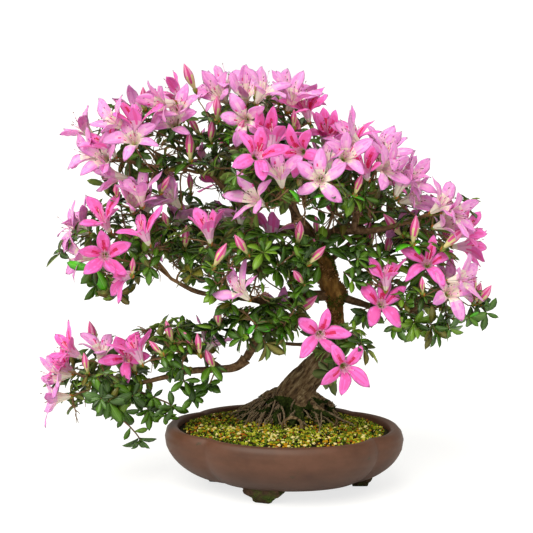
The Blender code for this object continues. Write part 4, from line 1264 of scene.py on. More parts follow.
def petal_points(opening, rng, swing=0.0):
    """Inner face of one petal in the flower's own space, its middle along +X, the flower along +Z."""
    s = np.linspace(0, 1, PETAL_STEPS)
    u = np.linspace(-1, 1, PETAL_COLUMNS)
    length = PETAL_LENGTH * rng.uniform(*PETAL_LENGTHS)
    open_lean = math.radians(SHUT_LEAN + OPEN_LEAN * opening) + rng.uniform(-0.24, 0.24)
    lean = TUBE_LEAN + (open_lean - TUBE_LEAN) * smooth_step((s - TUBE_SHARE * 0.7) / 0.46)
    lean += TIP_CURL * smooth_step((s - 0.68) / 0.32) * rng.uniform(-0.2, 1.4)
    step = length / (PETAL_STEPS - 1)
    r = TUBE_FOOT + np.concatenate([[0], np.cumsum(np.sin(lean[:-1]) * step)])
    z = np.concatenate([[0], np.cumsum(np.cos(lean[:-1]) * step)])
    around = u[None] * math.pi / PETALS * 1.05
    tube_x, tube_y = r[:, None] * np.cos(around), r[:, None] * np.sin(around)
    lobe = np.clip((s - TUBE_SHARE) / (1 - TUBE_SHARE), 0, 1)
    half = np.interp(lobe, LOBE_AT, LOBE_WIDE) * PETAL_WIDTH / 2 * rng.uniform(*PETAL_WIDTHS)
    across = half[:, None] * u[None]
    groove = -PETAL_GROOVE * np.exp(-(u[None] / 0.2) ** 2) * half[:, None]
    curl = -rng.uniform(*PETAL_CURL) * u[None] ** 2 * half[:, None] + groove
    waves = np.sin(s[:, None] * rng.uniform(13, 22) + rng.uniform(0, 6) + u[None] * rng.uniform(1, 3))
    ripple = PETAL_RIPPLE * waves * u[None] ** 2 * lobe[:, None]
    twist = (rng.uniform(-PETAL_TWIST, PETAL_TWIST) * lobe)[:, None]
    inward = np.stack([-np.cos(lean), np.zeros_like(lean), np.sin(lean)], axis=1)
    flat = np.stack([np.broadcast_to(r[:, None], across.shape), across * np.cos(twist),
                     np.broadcast_to(z[:, None], across.shape)], axis=2)
    flat = flat + inward[:, None] * (curl + ripple + across * np.sin(twist))[..., None]
    rounded = np.stack([tube_x, tube_y, np.broadcast_to(z[:, None], tube_x.shape)], axis=2)
    share = smooth_step((s - TUBE_SHARE * TUBE_ROUND) / 0.2)[:, None, None]
    points = rounded * (1 - share) + flat * share
    points[..., 1] += (rng.uniform(-PETAL_SWAY, PETAL_SWAY) * lobe ** 2 * length)[:, None]
    turn = (swing * smooth_step((s - TUBE_SHARE * TUBE_ROUND) / 0.3))[:, None]
    x, y = points[..., 0], points[..., 1]
    turned = [x * np.cos(turn) - y * np.sin(turn), x * np.sin(turn) + y * np.cos(turn), points[..., 2]]
    return np.stack(turned, axis=2), inward


def bloom_outline(opening):
    """How far out, and how far ahead, each part of a bloom's petals lies."""
    middle = petal_points(opening * 1.06, random.Random(SEED))[0][:, PETAL_COLUMNS // 2]
    return middle[:, 0] + PETAL_WIDTH * 0.1, middle[:, 2]


def vivid_cell(lobe, across, vein, flare, rng):
    """Colours of one cell of a vivid petal, inner face and outer face."""
    inside = "pink" if vein or across > 0.5 or lobe > 0.8 else "hot"
    if across > 0.5 and vein:
        inside = "hot"
    if across < 0.62 * flare * (1 - lobe * 1.4) and flare > 0:
        inside = "crimson" if rng.random() < 0.6 else "deep"
    if lobe < (-0.12 if flare > 0 and across < 0.4 else 0.02):
        inside = "blush" if lobe < -0.08 or rng.random() < 0.5 else "pink"
    if across < 0.3 and lobe > 0.0:
        return inside, "hot"
    return inside, "pink" if lobe > 0.25 else ("blush" if lobe > -0.3 else "cream")


def pale_cell(lobe, across, vein, flare, rng):
    """Colours of one cell of a pale petal, inner face and outer face."""
    inside = "lilac" if vein else "pale"
    if across > 0.62 and lobe > 0.3 or lobe > 0.84:
        inside = "pale" if vein else "lilac"
    if across < 0.25 and lobe < 0.55 or lobe < 0.3 and rng.random() < 0.5:
        inside = "blush"
    if lobe < 0.2:
        inside = "cream" if rng.random() < 0.75 else "blush"
    if flare > 0 and 0.05 < lobe < 0.4 and rng.random() < 0.05 * flare:
        inside = "deep"
    if lobe > 0.7 or vein and lobe > 0.2:
        return inside, "lilac"
    return inside, "pale" if lobe > 0.2 else ("blush" if lobe > 0.0 else "cream")


def petal_slots(petal, tint, rng):
    """A colour for each cell of a petal, inner face and outer face, by its place on the petal."""
    inner = np.empty((PETAL_STEPS - 1, PETAL_COLUMNS - 1), int)
    outer = inner.copy()
    flare = rng.uniform(0.8, 1.2) * PETAL_FLARES[petal]
    veins = rng.sample(range(PETAL_COLUMNS - 1), PETAL_VEINS)
    colours = vivid_cell if tint == "vivid" else pale_cell
    for i, j in np.ndindex(inner.shape):
        lobe = ((i + 0.5) / (PETAL_STEPS - 1) - TUBE_SHARE) / (1 - TUBE_SHARE)
        across = abs((j + 0.5) / (PETAL_COLUMNS - 1) * 2 - 1)
        vein = rng.random() < (0.7 if j in veins else 0.06)
        inside, outside = colours(lobe, across, vein, flare, rng)
        inner[i, j] = BLOSSOM_SLOTS["throat" if lobe < -0.36 else inside]
        outer[i, j] = BLOSSOM_SLOTS[outside]
    return inner, outer


def petal_faces():
    """Triangles of both faces of a petal, which share the points round its edge."""
    rows, columns = PETAL_STEPS, PETAL_COLUMNS
    inner = grid_triangles(rows, columns)
    back = {}
    for i, j in np.ndindex(rows, columns):
        rim = j in (0, columns - 1) or i == rows - 1
        back[i * columns + j] = i * columns + j if rim else (rows + i) * columns + j
    return np.vstack([inner, [[back[c], back[b], back[a]] for a, b, c in inner]])


PETAL_FACES = petal_faces()


def ways_across(aim):
    across = aim.orthogonal().normalized()
    return across, aim.cross(across)


def to_world(points, base, aim, roll):
    """Turn points from the flower's own space so that it looks along its aim."""
    across, up = ways_across(aim)
    x_way = across * math.cos(roll) + up * math.sin(roll)
    turn = rows_of([x_way, aim.cross(x_way), aim])
    return np.asarray(points).reshape(-1, 3) @ turn + np.array(tuple(base))


def upright_roll(aim):
    """The roll at which a flower's first petal points up."""
    across, up = ways_across(aim)
    return math.atan2(up.z, across.z)


def spun(points, turn):
    """Points turned about the Z axis."""
    cosine, sine = math.cos(turn), math.sin(turn)
    return points @ np.array([[cosine, sine, 0], [-sine, cosine, 0], [0, 0, 1]])


def add_flower(batch, base, aim, tint, opening, rng):
    """Five petals on a funnel, with stamens, a calyx and the scales of its bud."""
    roll = upright_roll(aim) + rng.uniform(-0.6, 0.6)
    for petal in range(PETALS):
        swing = PETAL_SWINGS[petal] + rng.uniform(-0.2, 0.2)
        points, inward = petal_points(opening * rng.uniform(0.8, 1.12), rng, swing)
        below = points - inward[:, None] * PETAL_THICKNESS
        both = np.vstack([points.reshape(-1, 3), below.reshape(-1, 3)])
        both = spun(both, 2 * math.pi * petal / PETALS)
        slots = [np.repeat(face.reshape(-1), 2) for face in petal_slots(petal, tint, rng)]
        batch.add(to_world(both, base, aim, roll), PETAL_FACES, np.concatenate(slots))
    add_stamens(batch, base, aim, roll, 0.6 if opening > 0.6 else 0.3, rng)
    add_calyx(batch, base, aim, rng)


def add_stamens(batch, base, aim, roll, lean, rng):
    """The long style and the shorter stamens round it, each with its anther."""
    def placed_tube(line, radii, sides, name):
        points = [Vector(p) for p in to_world(rows_of(line), base, aim, roll)]
        tube(batch, points, radii, sides, BLOSSOM_SLOTS[name])

    droop = Vector((-lean * 0.35, 0, 0))
    for k in range(STAMENS):
        turn = 2 * math.pi * k / STAMENS + rng.uniform(-0.3, 0.3)
        reach = (STAMEN_LENGTH if k else STYLE_LENGTH) * MM * rng.uniform(0.85, 1.1)
        out = Vector((math.cos(turn), math.sin(turn), 0)) * (0.16 + 0.1 * rng.random())
        line = []
        for t in FILAMENT_AT:
            bent = out * t * t * 1.2 + droop * t * (1 - t) + Vector((0, 0, t))
            line.append(Vector((0, 0, 6 * MM)) + bent * reach)
        placed_tube(line, FILAMENT_RADII, 3, "filament")
        anther = [line[-1] + Vector((0, 0, height)) for height, radius in ANTHER]
        placed_tube(anther, [radius for height, radius in ANTHER], 4, "anther")


def add_calyx(batch, base, aim, rng):
    """The short stalk under a flower or bud, with its green cup and brown scales."""
    foot = base - aim * 4 * MM
    cup = [foot, base - aim * 1 * MM, base + aim * 2 * MM]
    tube(batch, cup, [0.8 * MM, 1.3 * MM, 1.8 * MM], 6, BLOSSOM_SLOTS["calyx"])
    for k in range(4):
        way = perpendicular_ring(aim, 2 * math.pi * k / 4 + rng.uniform(-0.4, 0.4), math.radians(32))
        start = foot + way * 0.5 * MM
        line = [start, start + way * 3 * MM, start + way * 6 * MM]
        tube(batch, line, [0.5 * MM, 1.1 * MM, 0.2 * MM], 4, BLOSSOM_SLOTS["scale" if k % 2 else "calyx"])


def bud_slot(row, k):
    if row < 2 or row < 4 and k % 2 == 0:
        return BLOSSOM_SLOTS["bud_base"]
    return BLOSSOM_SLOTS["bud_deep" if k % 2 else "bud_pale"]


def add_bud(batch, base, aim, rng):
    """A long bud whose furled petals wind round it."""
    size = rng.uniform(0.7, 1.2)
    aim = (aim + jitter(rng, BUD_NOD)).normalized()
    length, width = BUD_LENGTH * size, BUD_WIDTH * size
    roll = rng.uniform(0, 2 * math.pi)
    rows = len(BUD_PROFILE)
    radii = np.array([w for s, w in BUD_PROFILE])[:, None] * width / 2
    ridge = 1 + BUD_RIDGE * (np.arange(BUD_SIDES) % 2)[None]
    turns = turns_of(BUD_SIDES)[None] + np.linspace(0, BUD_WIND, rows)[:, None]
    rims = np.stack([np.cos(turns), np.sin(turns)], axis=2) * (radii * ridge)[..., None]
    middle = rows_of(Vector((0, 0, s * length)) for s, w in BUD_PROFILE)
    points = np.concatenate([rims, np.broadcast_to(middle[:, None, 2:], (rows, BUD_SIDES, 1))], axis=2)
    slots = np.repeat([bud_slot(row, k) for row in range(rows - 1) for k in range(BUD_SIDES)], 2)
    tip, foot = fan((rows - 1) * BUD_SIDES, BUD_SIDES), fan(0, BUD_SIDES, True)
    ends = [BLOSSOM_SLOTS["bud_deep"]] * len(tip) + [BLOSSOM_SLOTS["bud_base"]] * len(foot)
    triangles = np.vstack([grid_triangles(rows, BUD_SIDES, True), tip, foot])
    batch.add(to_world(points, base, aim, roll), triangles, np.concatenate([slots, ends]))
    add_calyx(batch, base, aim, rng)


# Wood -----------------------------------------------------------------------

def trunk_line(step):
    return smooth_line([mm(p) for p, r in TRUNK_LINE], [r * MM for p, r in TRUNK_LINE], step)


def root_chains(rng):
    """Surface roots, and the thin rootlets that leave them and wander over the soil."""
    roots, rootlets = [], []
    crown = mm(ROOT_CROWN)
    for angle, reach, radius in SURFACE_ROOTS:
        out = Vector((math.cos(math.radians(angle)), math.sin(math.radians(angle)), 0))
        aside = Vector((-out.y, out.x, 0))
        line = []
        for share, height in ROOT_FALL:
            stray = rng.uniform(-ROOT_WANDER, ROOT_WANDER)
            wander = aside * stray * reach * MM * math.sin(math.pi * share)
            level = SOIL_TOP + (crown.z - SOIL_TOP) * height
            place = Vector((crown.x, crown.y, 0)) + out * reach * MM * share + wander
            line.append(Vector((place.x, place.y, level)))
        path, widths = smooth_line(line, [radius * w * MM for w in ROOT_TAPER], 3 * MM)
        for k in range(2, len(path)):
            path[k] = path[k] + aside * noise.noise(path[k] * 90) * ROOT_TWIST
        widths = [w * (1 + ROOT_LUMPS * noise.noise(p * 160 + out)) for w, p in zip(widths, path)]
        roots.append((path, widths))
        for k in range(LEFT_ROOTLETS if out.x < -0.5 and out.y < 0.3 else ROOTLETS):
            rootlets.append(rootlet(line, out, aside * rng.choice((-1, 1)), reach, rng))
    return roots, rootlets


def rootlet(line, out, aside, reach, rng):
    """A thin root that leaves its parent part of the way out and winds down to the soil."""
    spot = rng.uniform(0.1, 0.72) * (len(line) - 1)
    low = int(spot)
    start = line[low].lerp(line[low + 1], spot - low) + Vector((0, 0, 1.5 * MM))
    way = (out + aside * rng.uniform(0.2, 1.5)).normalized()
    length = reach * MM * rng.uniform(0.3, 0.7)
    swings, depth = rng.uniform(5, 14), rng.uniform(1.6, 4.2) * MM
    points = []
    for k in range(ROOTLET_STEPS + 1):
        t = k / ROOTLET_STEPS
        fall = (start.z - SOIL_TOP) * (1 - t) ** 1.5
        level = SOIL_TOP + fall + ROOTLET_RISE * math.sin(math.pi * min(1, t * 1.1)) - 3.0 * MM * t
        place = start + way * length * t + aside * math.sin(t * swings) * depth * t
        points.append(Vector((place.x, place.y, level)))
    thick = rng.uniform(*ROOTLET_THICK) * MM
    radii = [thick * (1 - ROOTLET_TAPER * k) for k in range(len(points))]
    return smooth_line(points, radii, 2.5 * MM)


def looped_root():
    """A root that rises from the soil in an arch and goes back into it."""
    points = []
    for turn in ARCH_TURNS:
        along, rise = math.cos(turn), math.sin(turn)
        offset = (along * ARCH_SPAN, -ARCH_SPAN * 0.35 * rise, rise * ARCH_RISE)
        points.append(ARCH_PLACE + Vector(offset))
    return smooth_line(points, [w * MM for w in ARCH_RADII], 2 * MM)


def slimmer(height):
    """The trunk's own flare is drawn in, so that the roots stand out from it."""
    heights = [h * MM for h, w in FLARE_SLIMMER]
    return float(np.interp(height, heights, [w for h, w in FLARE_SLIMMER]))


def chain_places(points, chains):
    """What each point has for its nearest limb.

    Way along it, place across it, its radius and number, and the height over its middle.
    """
    best = np.full(len(points), 1e9)
    found = np.zeros((len(points), 6))
    for number, (line, radii) in enumerate(chains):
        ways, across, up = frames_along(line)
        at = rows_of(line)
        lengths = np.concatenate([[0], np.cumsum(np.linalg.norm(at[1:] - at[:-1], axis=1))])
        size = np.array(radii)
        for i in range(len(line)):
            offset = points - at[i]
            along = offset @ ways[i]
            far = np.sqrt((offset * offset).sum(axis=1)) - size[i]
            nearer = far < best
            best = np.where(nearer, far, best)
            values = np.stack([lengths[i] + along + number, offset @ across[i], offset @ up[i],
                               np.full(len(points), size[i]), np.full(len(points), number),
                               offset[:, 2] / size[i]], axis=1)
            found[nearer] = values[nearer]
    return found


def bark_relief(places, depth, grain):
    """Long ridges and fissures that run with the limb, from a ridged noise in the limb's own places."""
    relief = np.empty(len(places))
    for k, (along, a, b, radius, number, over) in enumerate(places):
        drawn_out = Vector((along * grain * BARK_STRETCH, a * grain, b * grain))
        ridges = noise.ridged_multi_fractal(drawn_out, 1.0, 2.1, 3, 1.0, 1.6)
        lumps = noise.noise(Vector((along * 70, a * 60, b * 60)))
        limit = min(1.0, radius / FULL_BARK_RADIUS)
        relief[k] = depth * limit * (ridges * 0.75 - 0.85) + depth * 1.3 * limit * lumps
    return relief


def remeshed(batch, voxel):
    """Fuse overlapping closed shapes into one skin of even faces."""
    rough = add_object("rough", batch.mesh("rough"))
    skin = rough.modifiers.new("skin", "REMESH")
    skin.mode = "VOXEL"
    skin.voxel_size = voxel
    soften = rough.modifiers.new("soften", "SMOOTH")
    soften.factor, soften.iterations = TRUNK_SOFTENING
    bpy.context.view_layer.update()
    fused = bpy.data.meshes.new_from_object(rough.evaluated_get(bpy.context.evaluated_depsgraph_get()))
    bpy.data.meshes.remove(rough.data)
    return fused


def cut_flat(mesh, level):
    """Take away what lies under a level, close the cut, and leave triangles only."""
    bm = bmesh.new()
    bm.from_mesh(mesh)
    geometry = list(bm.verts) + list(bm.edges) + list(bm.faces)
    cut = bmesh.ops.bisect_plane(bm, geom=geometry, plane_co=(0, 0, level), plane_no=(0, 0, -1),
                                 clear_outer=True)
    bmesh.ops.holes_fill(bm, edges=[e for e in cut["geom_cut"] if isinstance(e, bmesh.types.BMEdge)])
    bmesh.ops.triangulate(bm, faces=bm.faces)
    bm.normal_update()
    bm.to_mesh(mesh)
    bm.free()


def fluted(sides, rows):
    """Shallow flutes that wind up the trunk, as shares of its radius."""
    return np.array([[1 + 0.06 * math.sin(5 * t + 2.4 * i / rows) + 0.04 * math.sin(3 * t - 4 * i / rows)
                      for t in turns_of(sides)] for i in range(rows)])


def trunk_skin(chains):
    """The first chain as the fluted trunk, the others as roots, and the knots, in one skin."""
    batch = Batch()
    line, radii = chains[0]
    tube(batch, line, radii, TRUNK_SIDES, 0, fluted(TRUNK_SIDES, len(line)))
    for root, thick in chains[1:]:
        tube(batch, root, thick, ROOT_SIDES)
    for place, size in KNOTS:
        spine = [mm(place) + Vector((0, 0, d * size * MM)) for d, w in KNOT_SHAPE]
        tube(batch, spine, [size * MM * w for d, w in KNOT_SHAPE], KNOT_SIDES)
    mesh = remeshed(batch, TRUNK_VOXEL)
    cut_flat(mesh, SOIL_TOP - ROOT_BURIED)
    return mesh


def bark_zones(points, places, last_root):
    """Which points lie in the mossy hollows between the roots, and which on the upper trunk."""
    patches = np.array([noise.noise(Vector(p) * 70) for p in points])
    across, back = (points[:, k] - MOSS_MIDDLE[k] for k in (0, 1))
    middle = np.exp(-(across / MOSS_SPREAD) ** 2 - (back / MOSS_SPREAD) ** 2)
    number, over = places[:, 4], places[:, 5]
    base, patchy, inside = MOSS_SHELTER
    sheltered = (number == 0) | (over < base + patchy * patches + inside * middle)
    low = points[:, 2] + patches * MOSS_EDGE * MM < MOSS_LINE + middle * 4 * MM
    upper = points[:, 2] + patches * UPPER_EDGE * MM > UPPER_BARK
    return sheltered & (number < last_root) & low, upper


def add_trunk(materials):
    """Trunk and roots in one skin with the bark's relief, cut flat just under the soil's surface."""
    rng = random.Random(SEED)
    line, radii = trunk_line(3 * MM)
    roots, rootlets = root_chains(rng)
    chains = [(line, [r * slimmer(p.z) for p, r in zip(line, radii)])] + roots + [looped_root()]
    mesh = trunk_skin(chains)
    points = rows_of(v.co for v in mesh.vertices)
    normals = rows_of(v.normal for v in mesh.vertices)
    places = chain_places(points, chains)
    relief = bark_relief(places, BARK_DEPTH, BARK_GRAIN)
    relief[points[:, 2] < SOIL_TOP - ROOT_BURIED + 0.1 * MM] = 0
    points = points + normals * relief[:, None]
    mesh.vertices.foreach_set("co", points.ravel())
    hollows, upper = bark_zones(points, places, len(chains) - 1)
    # Painted shade: the deepest faces of the bark's relief take the darker fissure material
    deep = relief < np.percentile(relief, FISSURE_SHARE)
    faces = rows_of(f.vertices for f in mesh.polygons)
    slots = np.where(deep[faces].sum(axis=1) == 3, 1, 0)
    slots = np.where(hollows[faces].sum(axis=1) > 1, 2, slots)
    slots = np.where(upper[faces].sum(axis=1) > 1, 4, slots)
    mesh.name = "trunk_and_roots"
    add_piece("trunk_and_roots", mesh, materials, slots, "trunk")
    thin = Batch()
    for root, thick in rootlets:
        pattern = np.array([[rng.uniform(0.8, 1.2) for k in range(ROOTLET_SIDES)] for point in root])
        tube(thin, root, thick, ROOTLET_SIDES, 0, pattern)
    thin.piece("rootlets", [materials[3]], "trunk_bark", "trunk")
    return (points[hollows], normals[hollows]), (points[upper], normals[upper])


def add_boughs(material):
    """Each bough with a collar where it leaves its parent, and the bark's relief."""
    for bough in BOUGHS:
        line, radii = bough_line(bough, BOUGH_STEP)
        length = len(line) * BOUGH_STEP
        wide = []
        for k, radius in enumerate(radii):
            swell = COLLAR_SWELL * math.exp(-k * BOUGH_STEP / COLLAR_LENGTH)
            wide.append(min(radius * (1 + swell), radius * COLLAR_MOST))
        pattern = np.ones((len(line), BOUGH_SIDES))
        for i in range(len(line)):
            along = i * BOUGH_STEP
            for k, turn in enumerate(turns_of(BOUGH_SIDES)):
                cosine, sine = math.cos(turn), math.sin(turn)
                lump = noise.noise(Vector((along * 130, 1.6 * cosine, 1.6 * sine)))
                knob = noise.noise(Vector((along * 60 + 5, cosine, sine + length)))
                pattern[i, k] = 1 + BOUGH_LUMPS[0] * lump + BOUGH_LUMPS[1] * knob
        batch = Batch()
        tube(batch, line, wide, BOUGH_SIDES, 0, pattern)
        batch.piece(bough.name + "_bark", [material], "bough_bark", bough.name)


# Pot and soil ---------------------------------------------------------------

def angle_turn(x, y, turn):
    return x * math.cos(turn) - y * math.sin(turn), x * math.sin(turn) + y * math.cos(turn)


def lobe_outline(share):
    """Points round the pot at one level: an ellipse drawn in at each notch between two lobes."""
    points = []
    ends = POT_NOTCHES[1:] + (POT_NOTCHES[0] + 2 * math.pi,)
    for start, end in zip(POT_NOTCHES, ends):
        for k in range(LOBE_STEPS):
            t = k / LOBE_STEPS
            angle = start + (end - start) * t
            drawn = 1 - POT_NOTCH_DEPTH * (1 - math.sin(math.pi * t)) ** 2.5
            x = POT_HALF_WIDTH * share * drawn * math.cos(angle)
            y = POT_HALF_DEPTH * share * drawn * math.sin(angle)
            turned = angle_turn(x, y, POT_TURN)
            points.append((turned[0] + POT_CENTRE[0] * MM, turned[1] + POT_CENTRE[1] * MM))
    return points


def lofted(levels):
    """Skin a stack of (outline, height) levels and close both ends with fans."""
    count = len(levels[0][0])
    points = [(x, y, z) for outline, z in levels for x, y in outline]
    triangles = list(grid_triangles(len(levels), count, True))
    for level, flip in ((0, True), (len(levels) - 1, False)):
        outline, z = levels[level]
        points.append((sum(x for x, y in outline) / count, sum(y for x, y in outline) / count, z))
        centre = len(points) - 1
        for k in range(count):
            a, b = level * count + k, level * count + (k + 1) % count
            triangles.append((centre, b, a) if flip else (centre, a, b))
    return np.array(points), np.array(triangles)


def add_pot(clay):
    """The pot's shell and rolled rim, with the slight ripple of its wall."""
    profile = [Vector((share, 0, z * MM)) for share, z in POT_OUTER + POT_INNER]
    line = smooth_line(profile, [0] * len(profile), POT_STEP)[0]
    fine = [a.lerp(b, t) for a, b in zip(line, line[1:]) for t in POT_FINER] + [line[-1]]
    points, triangles = lofted([(lobe_outline(p.x), p.z) for p in fine])
    out = points - np.array([POT_CENTRE[0] * MM, 0, POT_MIDDLE])
    out /= np.linalg.norm(out, axis=1)[:, None]
    ripple = np.array([noise.noise(Vector([p[k] * RIPPLE_WAVES[k] for k in range(3)])) for p in points])
    batch = Batch()
    batch.add(points + out * ripple[:, None] * POT_RIPPLE, triangles, 0)
    batch.piece("pot_clay_body", [clay], "pot_clay", "pot")


def noise_offset(place):
    """A smooth random offset, with a noise of its own along each axis."""
    return Vector([noise.noise(place + Vector((31 * k, 0, 17 * k))) for k in range(1, 4)])


def foot_outline():
    """Half of a cloud-shaped bracket: a rounded boss, a waist, and an ear that runs out under the pot."""
    points = [(FOOT_BOSS_FLAT * k / 3, 0.0) for k in range(4)]
    for k in range(1, 9):
        a = math.radians(-90 + 150 * k / 8)
        points.append((FOOT_BOSS_FLAT + FOOT_BOSS * math.cos(a), FOOT_BOSS * (1 + math.sin(a))))
    for k in range(8):
        a = math.radians(-140 + 180 * k / 7)
        ear = FOOT_WIDTH_TOP / 2 - FOOT_EAR * (1.1 - math.cos(a))
        points.append((ear, FOOT_EAR_UP + FOOT_EAR * math.sin(a)))
    points.append((FOOT_WIDTH_TOP / 2, FOOT_HEIGHT * FOOT_EAR_FLARE))
    return points


def add_feet(clay):
    """Four cloud-shaped brackets, rounded at their outer edges and rough with moss."""
    side = foot_outline()
    outline = side + [(-x, z) for x, z in reversed(side)][:-1]
    slices = [(-FOOT_THICKNESS + FOOT_THICKNESS * k / FOOT_SLICES, 1.0) for k in range(FOOT_SLICES)]
    slices += FOOT_ROUND_OFF
    rows, columns = len(slices), len(outline)
    ends = fan(0, columns, True) + fan((rows - 1) * columns, columns)
    triangles = [*grid_triangles(rows, columns, True), *ends]
    for name, (x, y) in FOOT_PLACES:
        out = heading(x, y, 0)
        along = Vector((-out.y, out.x, 0))
        centre = Vector(((POT_CENTRE[0] + x) * MM, (POT_CENTRE[1] + y) * MM, 0))
        points = []
        for depth, narrow in slices:
            for w, h in outline:
                lean = h * FOOT_LEAN * (1 + depth / FOOT_THICKNESS)
                place = centre + along * w * narrow + Vector((0, 0, h)) + out * (depth + lean)
                rough = noise_offset(place * FOOT_GRAIN) * FOOT_ROUGHNESS * MM
                points.append(place + Vector((rough.x, rough.y, rough.z if h > 0.5 * MM else 0)))
        batch = Batch()
        batch.add(rows_of(points), triangles, 0)
        batch.piece(name + "_cloud", [clay], "pot_clay", name)


def soil_height(x, y):
    """Height of the soil: a plateau that slopes down to the pot's wall, with small swells."""
    dx, dy = angle_turn(x - POT_CENTRE[0] * MM, y, -POT_TURN)
    share = math.hypot(dx / POT_HALF_WIDTH, dy / POT_HALF_DEPTH)
    edge = min(1.0, max(0.0, (share - SOIL_PLATEAU) / (SOIL_EDGE - SOIL_PLATEAU)))
    swell = noise.noise(Vector((x * SOIL_WAVES, y * SOIL_WAVES, 3.0))) * SOIL_SWELL
    from_trunk = math.hypot(x - ROOT_CROWN[0] * MM, y - ROOT_CROWN[1] * MM) / MOUND_REACH
    mound = MOUND_RISE * max(0.0, 1 - from_trunk ** 2) ** 2
    return SOIL_TOP - (SOIL_TOP - SOIL_RIM) * edge ** 1.5 + swell * (1 - 0.5 * edge) + mound, share


def soil_spot(rng):
    """A place on the soil inside the pot's wall."""
    while True:
        x = POT_CENTRE[0] * MM + rng.uniform(-1, 1) * POT_HALF_WIDTH
        y = rng.uniform(-1, 1) * POT_HALF_DEPTH * 1.03
        level, share = soil_height(x, y)
        if share < GRAIN_REACH:
            return Vector((x, y, level))


def near_trunk(place):
    return math.hypot(place.x - ROOT_CROWN[0] * MM, (place.y - ROOT_CROWN[1] * MM) * 1.1) < SHADE_REACH


def add_soil_bed(material):
    """The soil's own body, from a floor inside the pot up to its uneven surface."""
    edge = SOIL_EDGE + SOIL_OVERLAP
    levels = [lobe_outline(edge - edge * k / (SOIL_RINGS + 0.2)) for k in range(SOIL_RINGS + 1)]
    points = [(x, y, SOIL_FLOOR) for x, y in levels[0]]
    points += [(x, y, soil_height(x, y)[0] - SOIL_BED_LOW) for outline in levels for x, y in outline]
    count = len(levels[0])
    rows = len(levels) + 1
    ends = fan((rows - 1) * count, count) + fan(0, count, True)
    bed = Batch()
    bed.add(points, [*grid_triangles(rows, count, True), *ends], 0)
    bed.piece("soil_bed", [material], "soil_mix", "soil")


def add_grains(materials, rng):
    """Thousands of pebbles that cover the soil."""
    shapes = [grain_shape(rng) for k in range(GRAIN_SHAPES)]
    grains = Batch()
    for k in range(GRAINS):
        place = soil_spot(rng)
        size = rng.choice(GRAIN_SIZES) * rng.uniform(0.8, 1.15) * MM
        shape, faces = rng.choice(shapes)
        turned = spun(shape, rng.uniform(0, 2 * math.pi))
        points = turned * size + np.array(tuple(place)) + [0, 0, size * 0.25]
        grains.add(points, faces, grain_slot(place, rng))
    grains.piece("soil_grains", materials, "soil_mix", "soil", smooth=False)


def grain_shape(rng):
    """A rounded pebble of twenty faces, squeezed at random."""
    golden = (1 + math.sqrt(5)) / 2
    signs = [(a, b * golden) for a in (-1, 1) for b in (-1, 1)]
    corners = np.array([(0, a, b) for a, b in signs] + [(a, b, 0) for a, b in signs]
                       + [(b, 0, a) for a, b in signs], float)
    corners /= np.linalg.norm(corners[0])
    faces = []
    for a, b, c in itertools.combinations(range(12), 3):
        sides = [np.linalg.norm(corners[i] - corners[j]) for i, j in ((a, b), (b, c), (a, c))]
        if max(sides) < 1.2:
            out = np.cross(corners[b] - corners[a], corners[c] - corners[a]) @ corners[a]
            faces.append((a, b, c) if out > 0 else (a, c, b))
    squeeze = np.array([rng.uniform(0.7, 1.25), rng.uniform(0.7, 1.25), rng.uniform(0.6, 0.95)])
    bumps = np.array([rng.uniform(0.82, 1.15) for k in range(12)])[:, None]
    return corners * bumps * squeeze, np.array(faces)


def grain_slot(place, rng):
    """Which colour a grain has: the mix changes slowly from place to place."""
    patch = noise.noise(place * 22)
    shares = list(GRAIN_SHARES)
    for k in LIGHT_GRAINS:
        shares[k] += 4 * patch
    for k in DARK_GRAINS:
        shares[k] -= 3 * patch
    if near_trunk(place):
        shares[SHADE_GRAIN] += 5
    return rng.choices(range(len(shares)), [max(0.3, w) for w in shares])[0]


def moss_shoot(batch, place, way, length, slot):
    """A moss shoot: a spindle of eight faces."""
    across = way.orthogonal().normalized() * length * 0.26
    up = way.cross(across)
    middle = place + way * length * 0.45
    waist = [middle + across, middle + up, middle - across, middle - up]
    points = rows_of([place - way * 0.5 * MM, *waist, place + way * length])
    triangles = [(0, 2, 1), (0, 3, 2), (0, 4, 3), (0, 1, 4), (5, 1, 2), (5, 2, 3), (5, 3, 4), (5, 4, 1)]
    batch.add(points, triangles, slot)


def add_soil_moss(materials, rng):
    """Moss shoots in patches over the soil, darker near the trunk."""
    shoots = Batch()
    for k in range(MOSS_SHOOTS):
        place = soil_spot(rng)
        shaded = near_trunk(place)
        if noise.noise(place * 38 + Vector((7, 0, 0))) + (0.3 if shaded else 0) < -0.15:
            continue
        way = heading(rng.uniform(-0.6, 0.6), rng.uniform(-0.6, 0.6), 1)
        length = rng.uniform(1.6, 3.6) * MM
        moss_shoot(shoots, place, way, length, rng.choice(SHADED_MOSS if shaded else SUNNY_MOSS))
    shoots.piece("soil_moss", materials, "soil_mix", "soil", smooth=False)


def add_trunk_moss(points, normals, materials):
    """Moss in the hollows between the roots, standing off the bark."""
    rng = random.Random(SEED + 2)
    low = np.where(points[:, 2] > SOIL_TOP)[0]
    batch = Batch()
    for k in range(TRUNK_MOSS):
        i = int(low[rng.randrange(len(low))])
        place, way = Vector(points[i]), Vector(normals[i])
        cover = noise.noise(place * 48 + Vector((0, 0, 9))) + (MOSS_LINE - place.z) / MOSS_FADE
        if cover < 0.1 or way.z < -0.2:
            continue
        moss_shoot(batch, place, lifted(way, 0.5), rng.uniform(1.0, 2.4) * MM, rng.choice(SHADED_MOSS))
    batch.piece("root_moss", materials, "soil_mix", "soil", smooth=False)


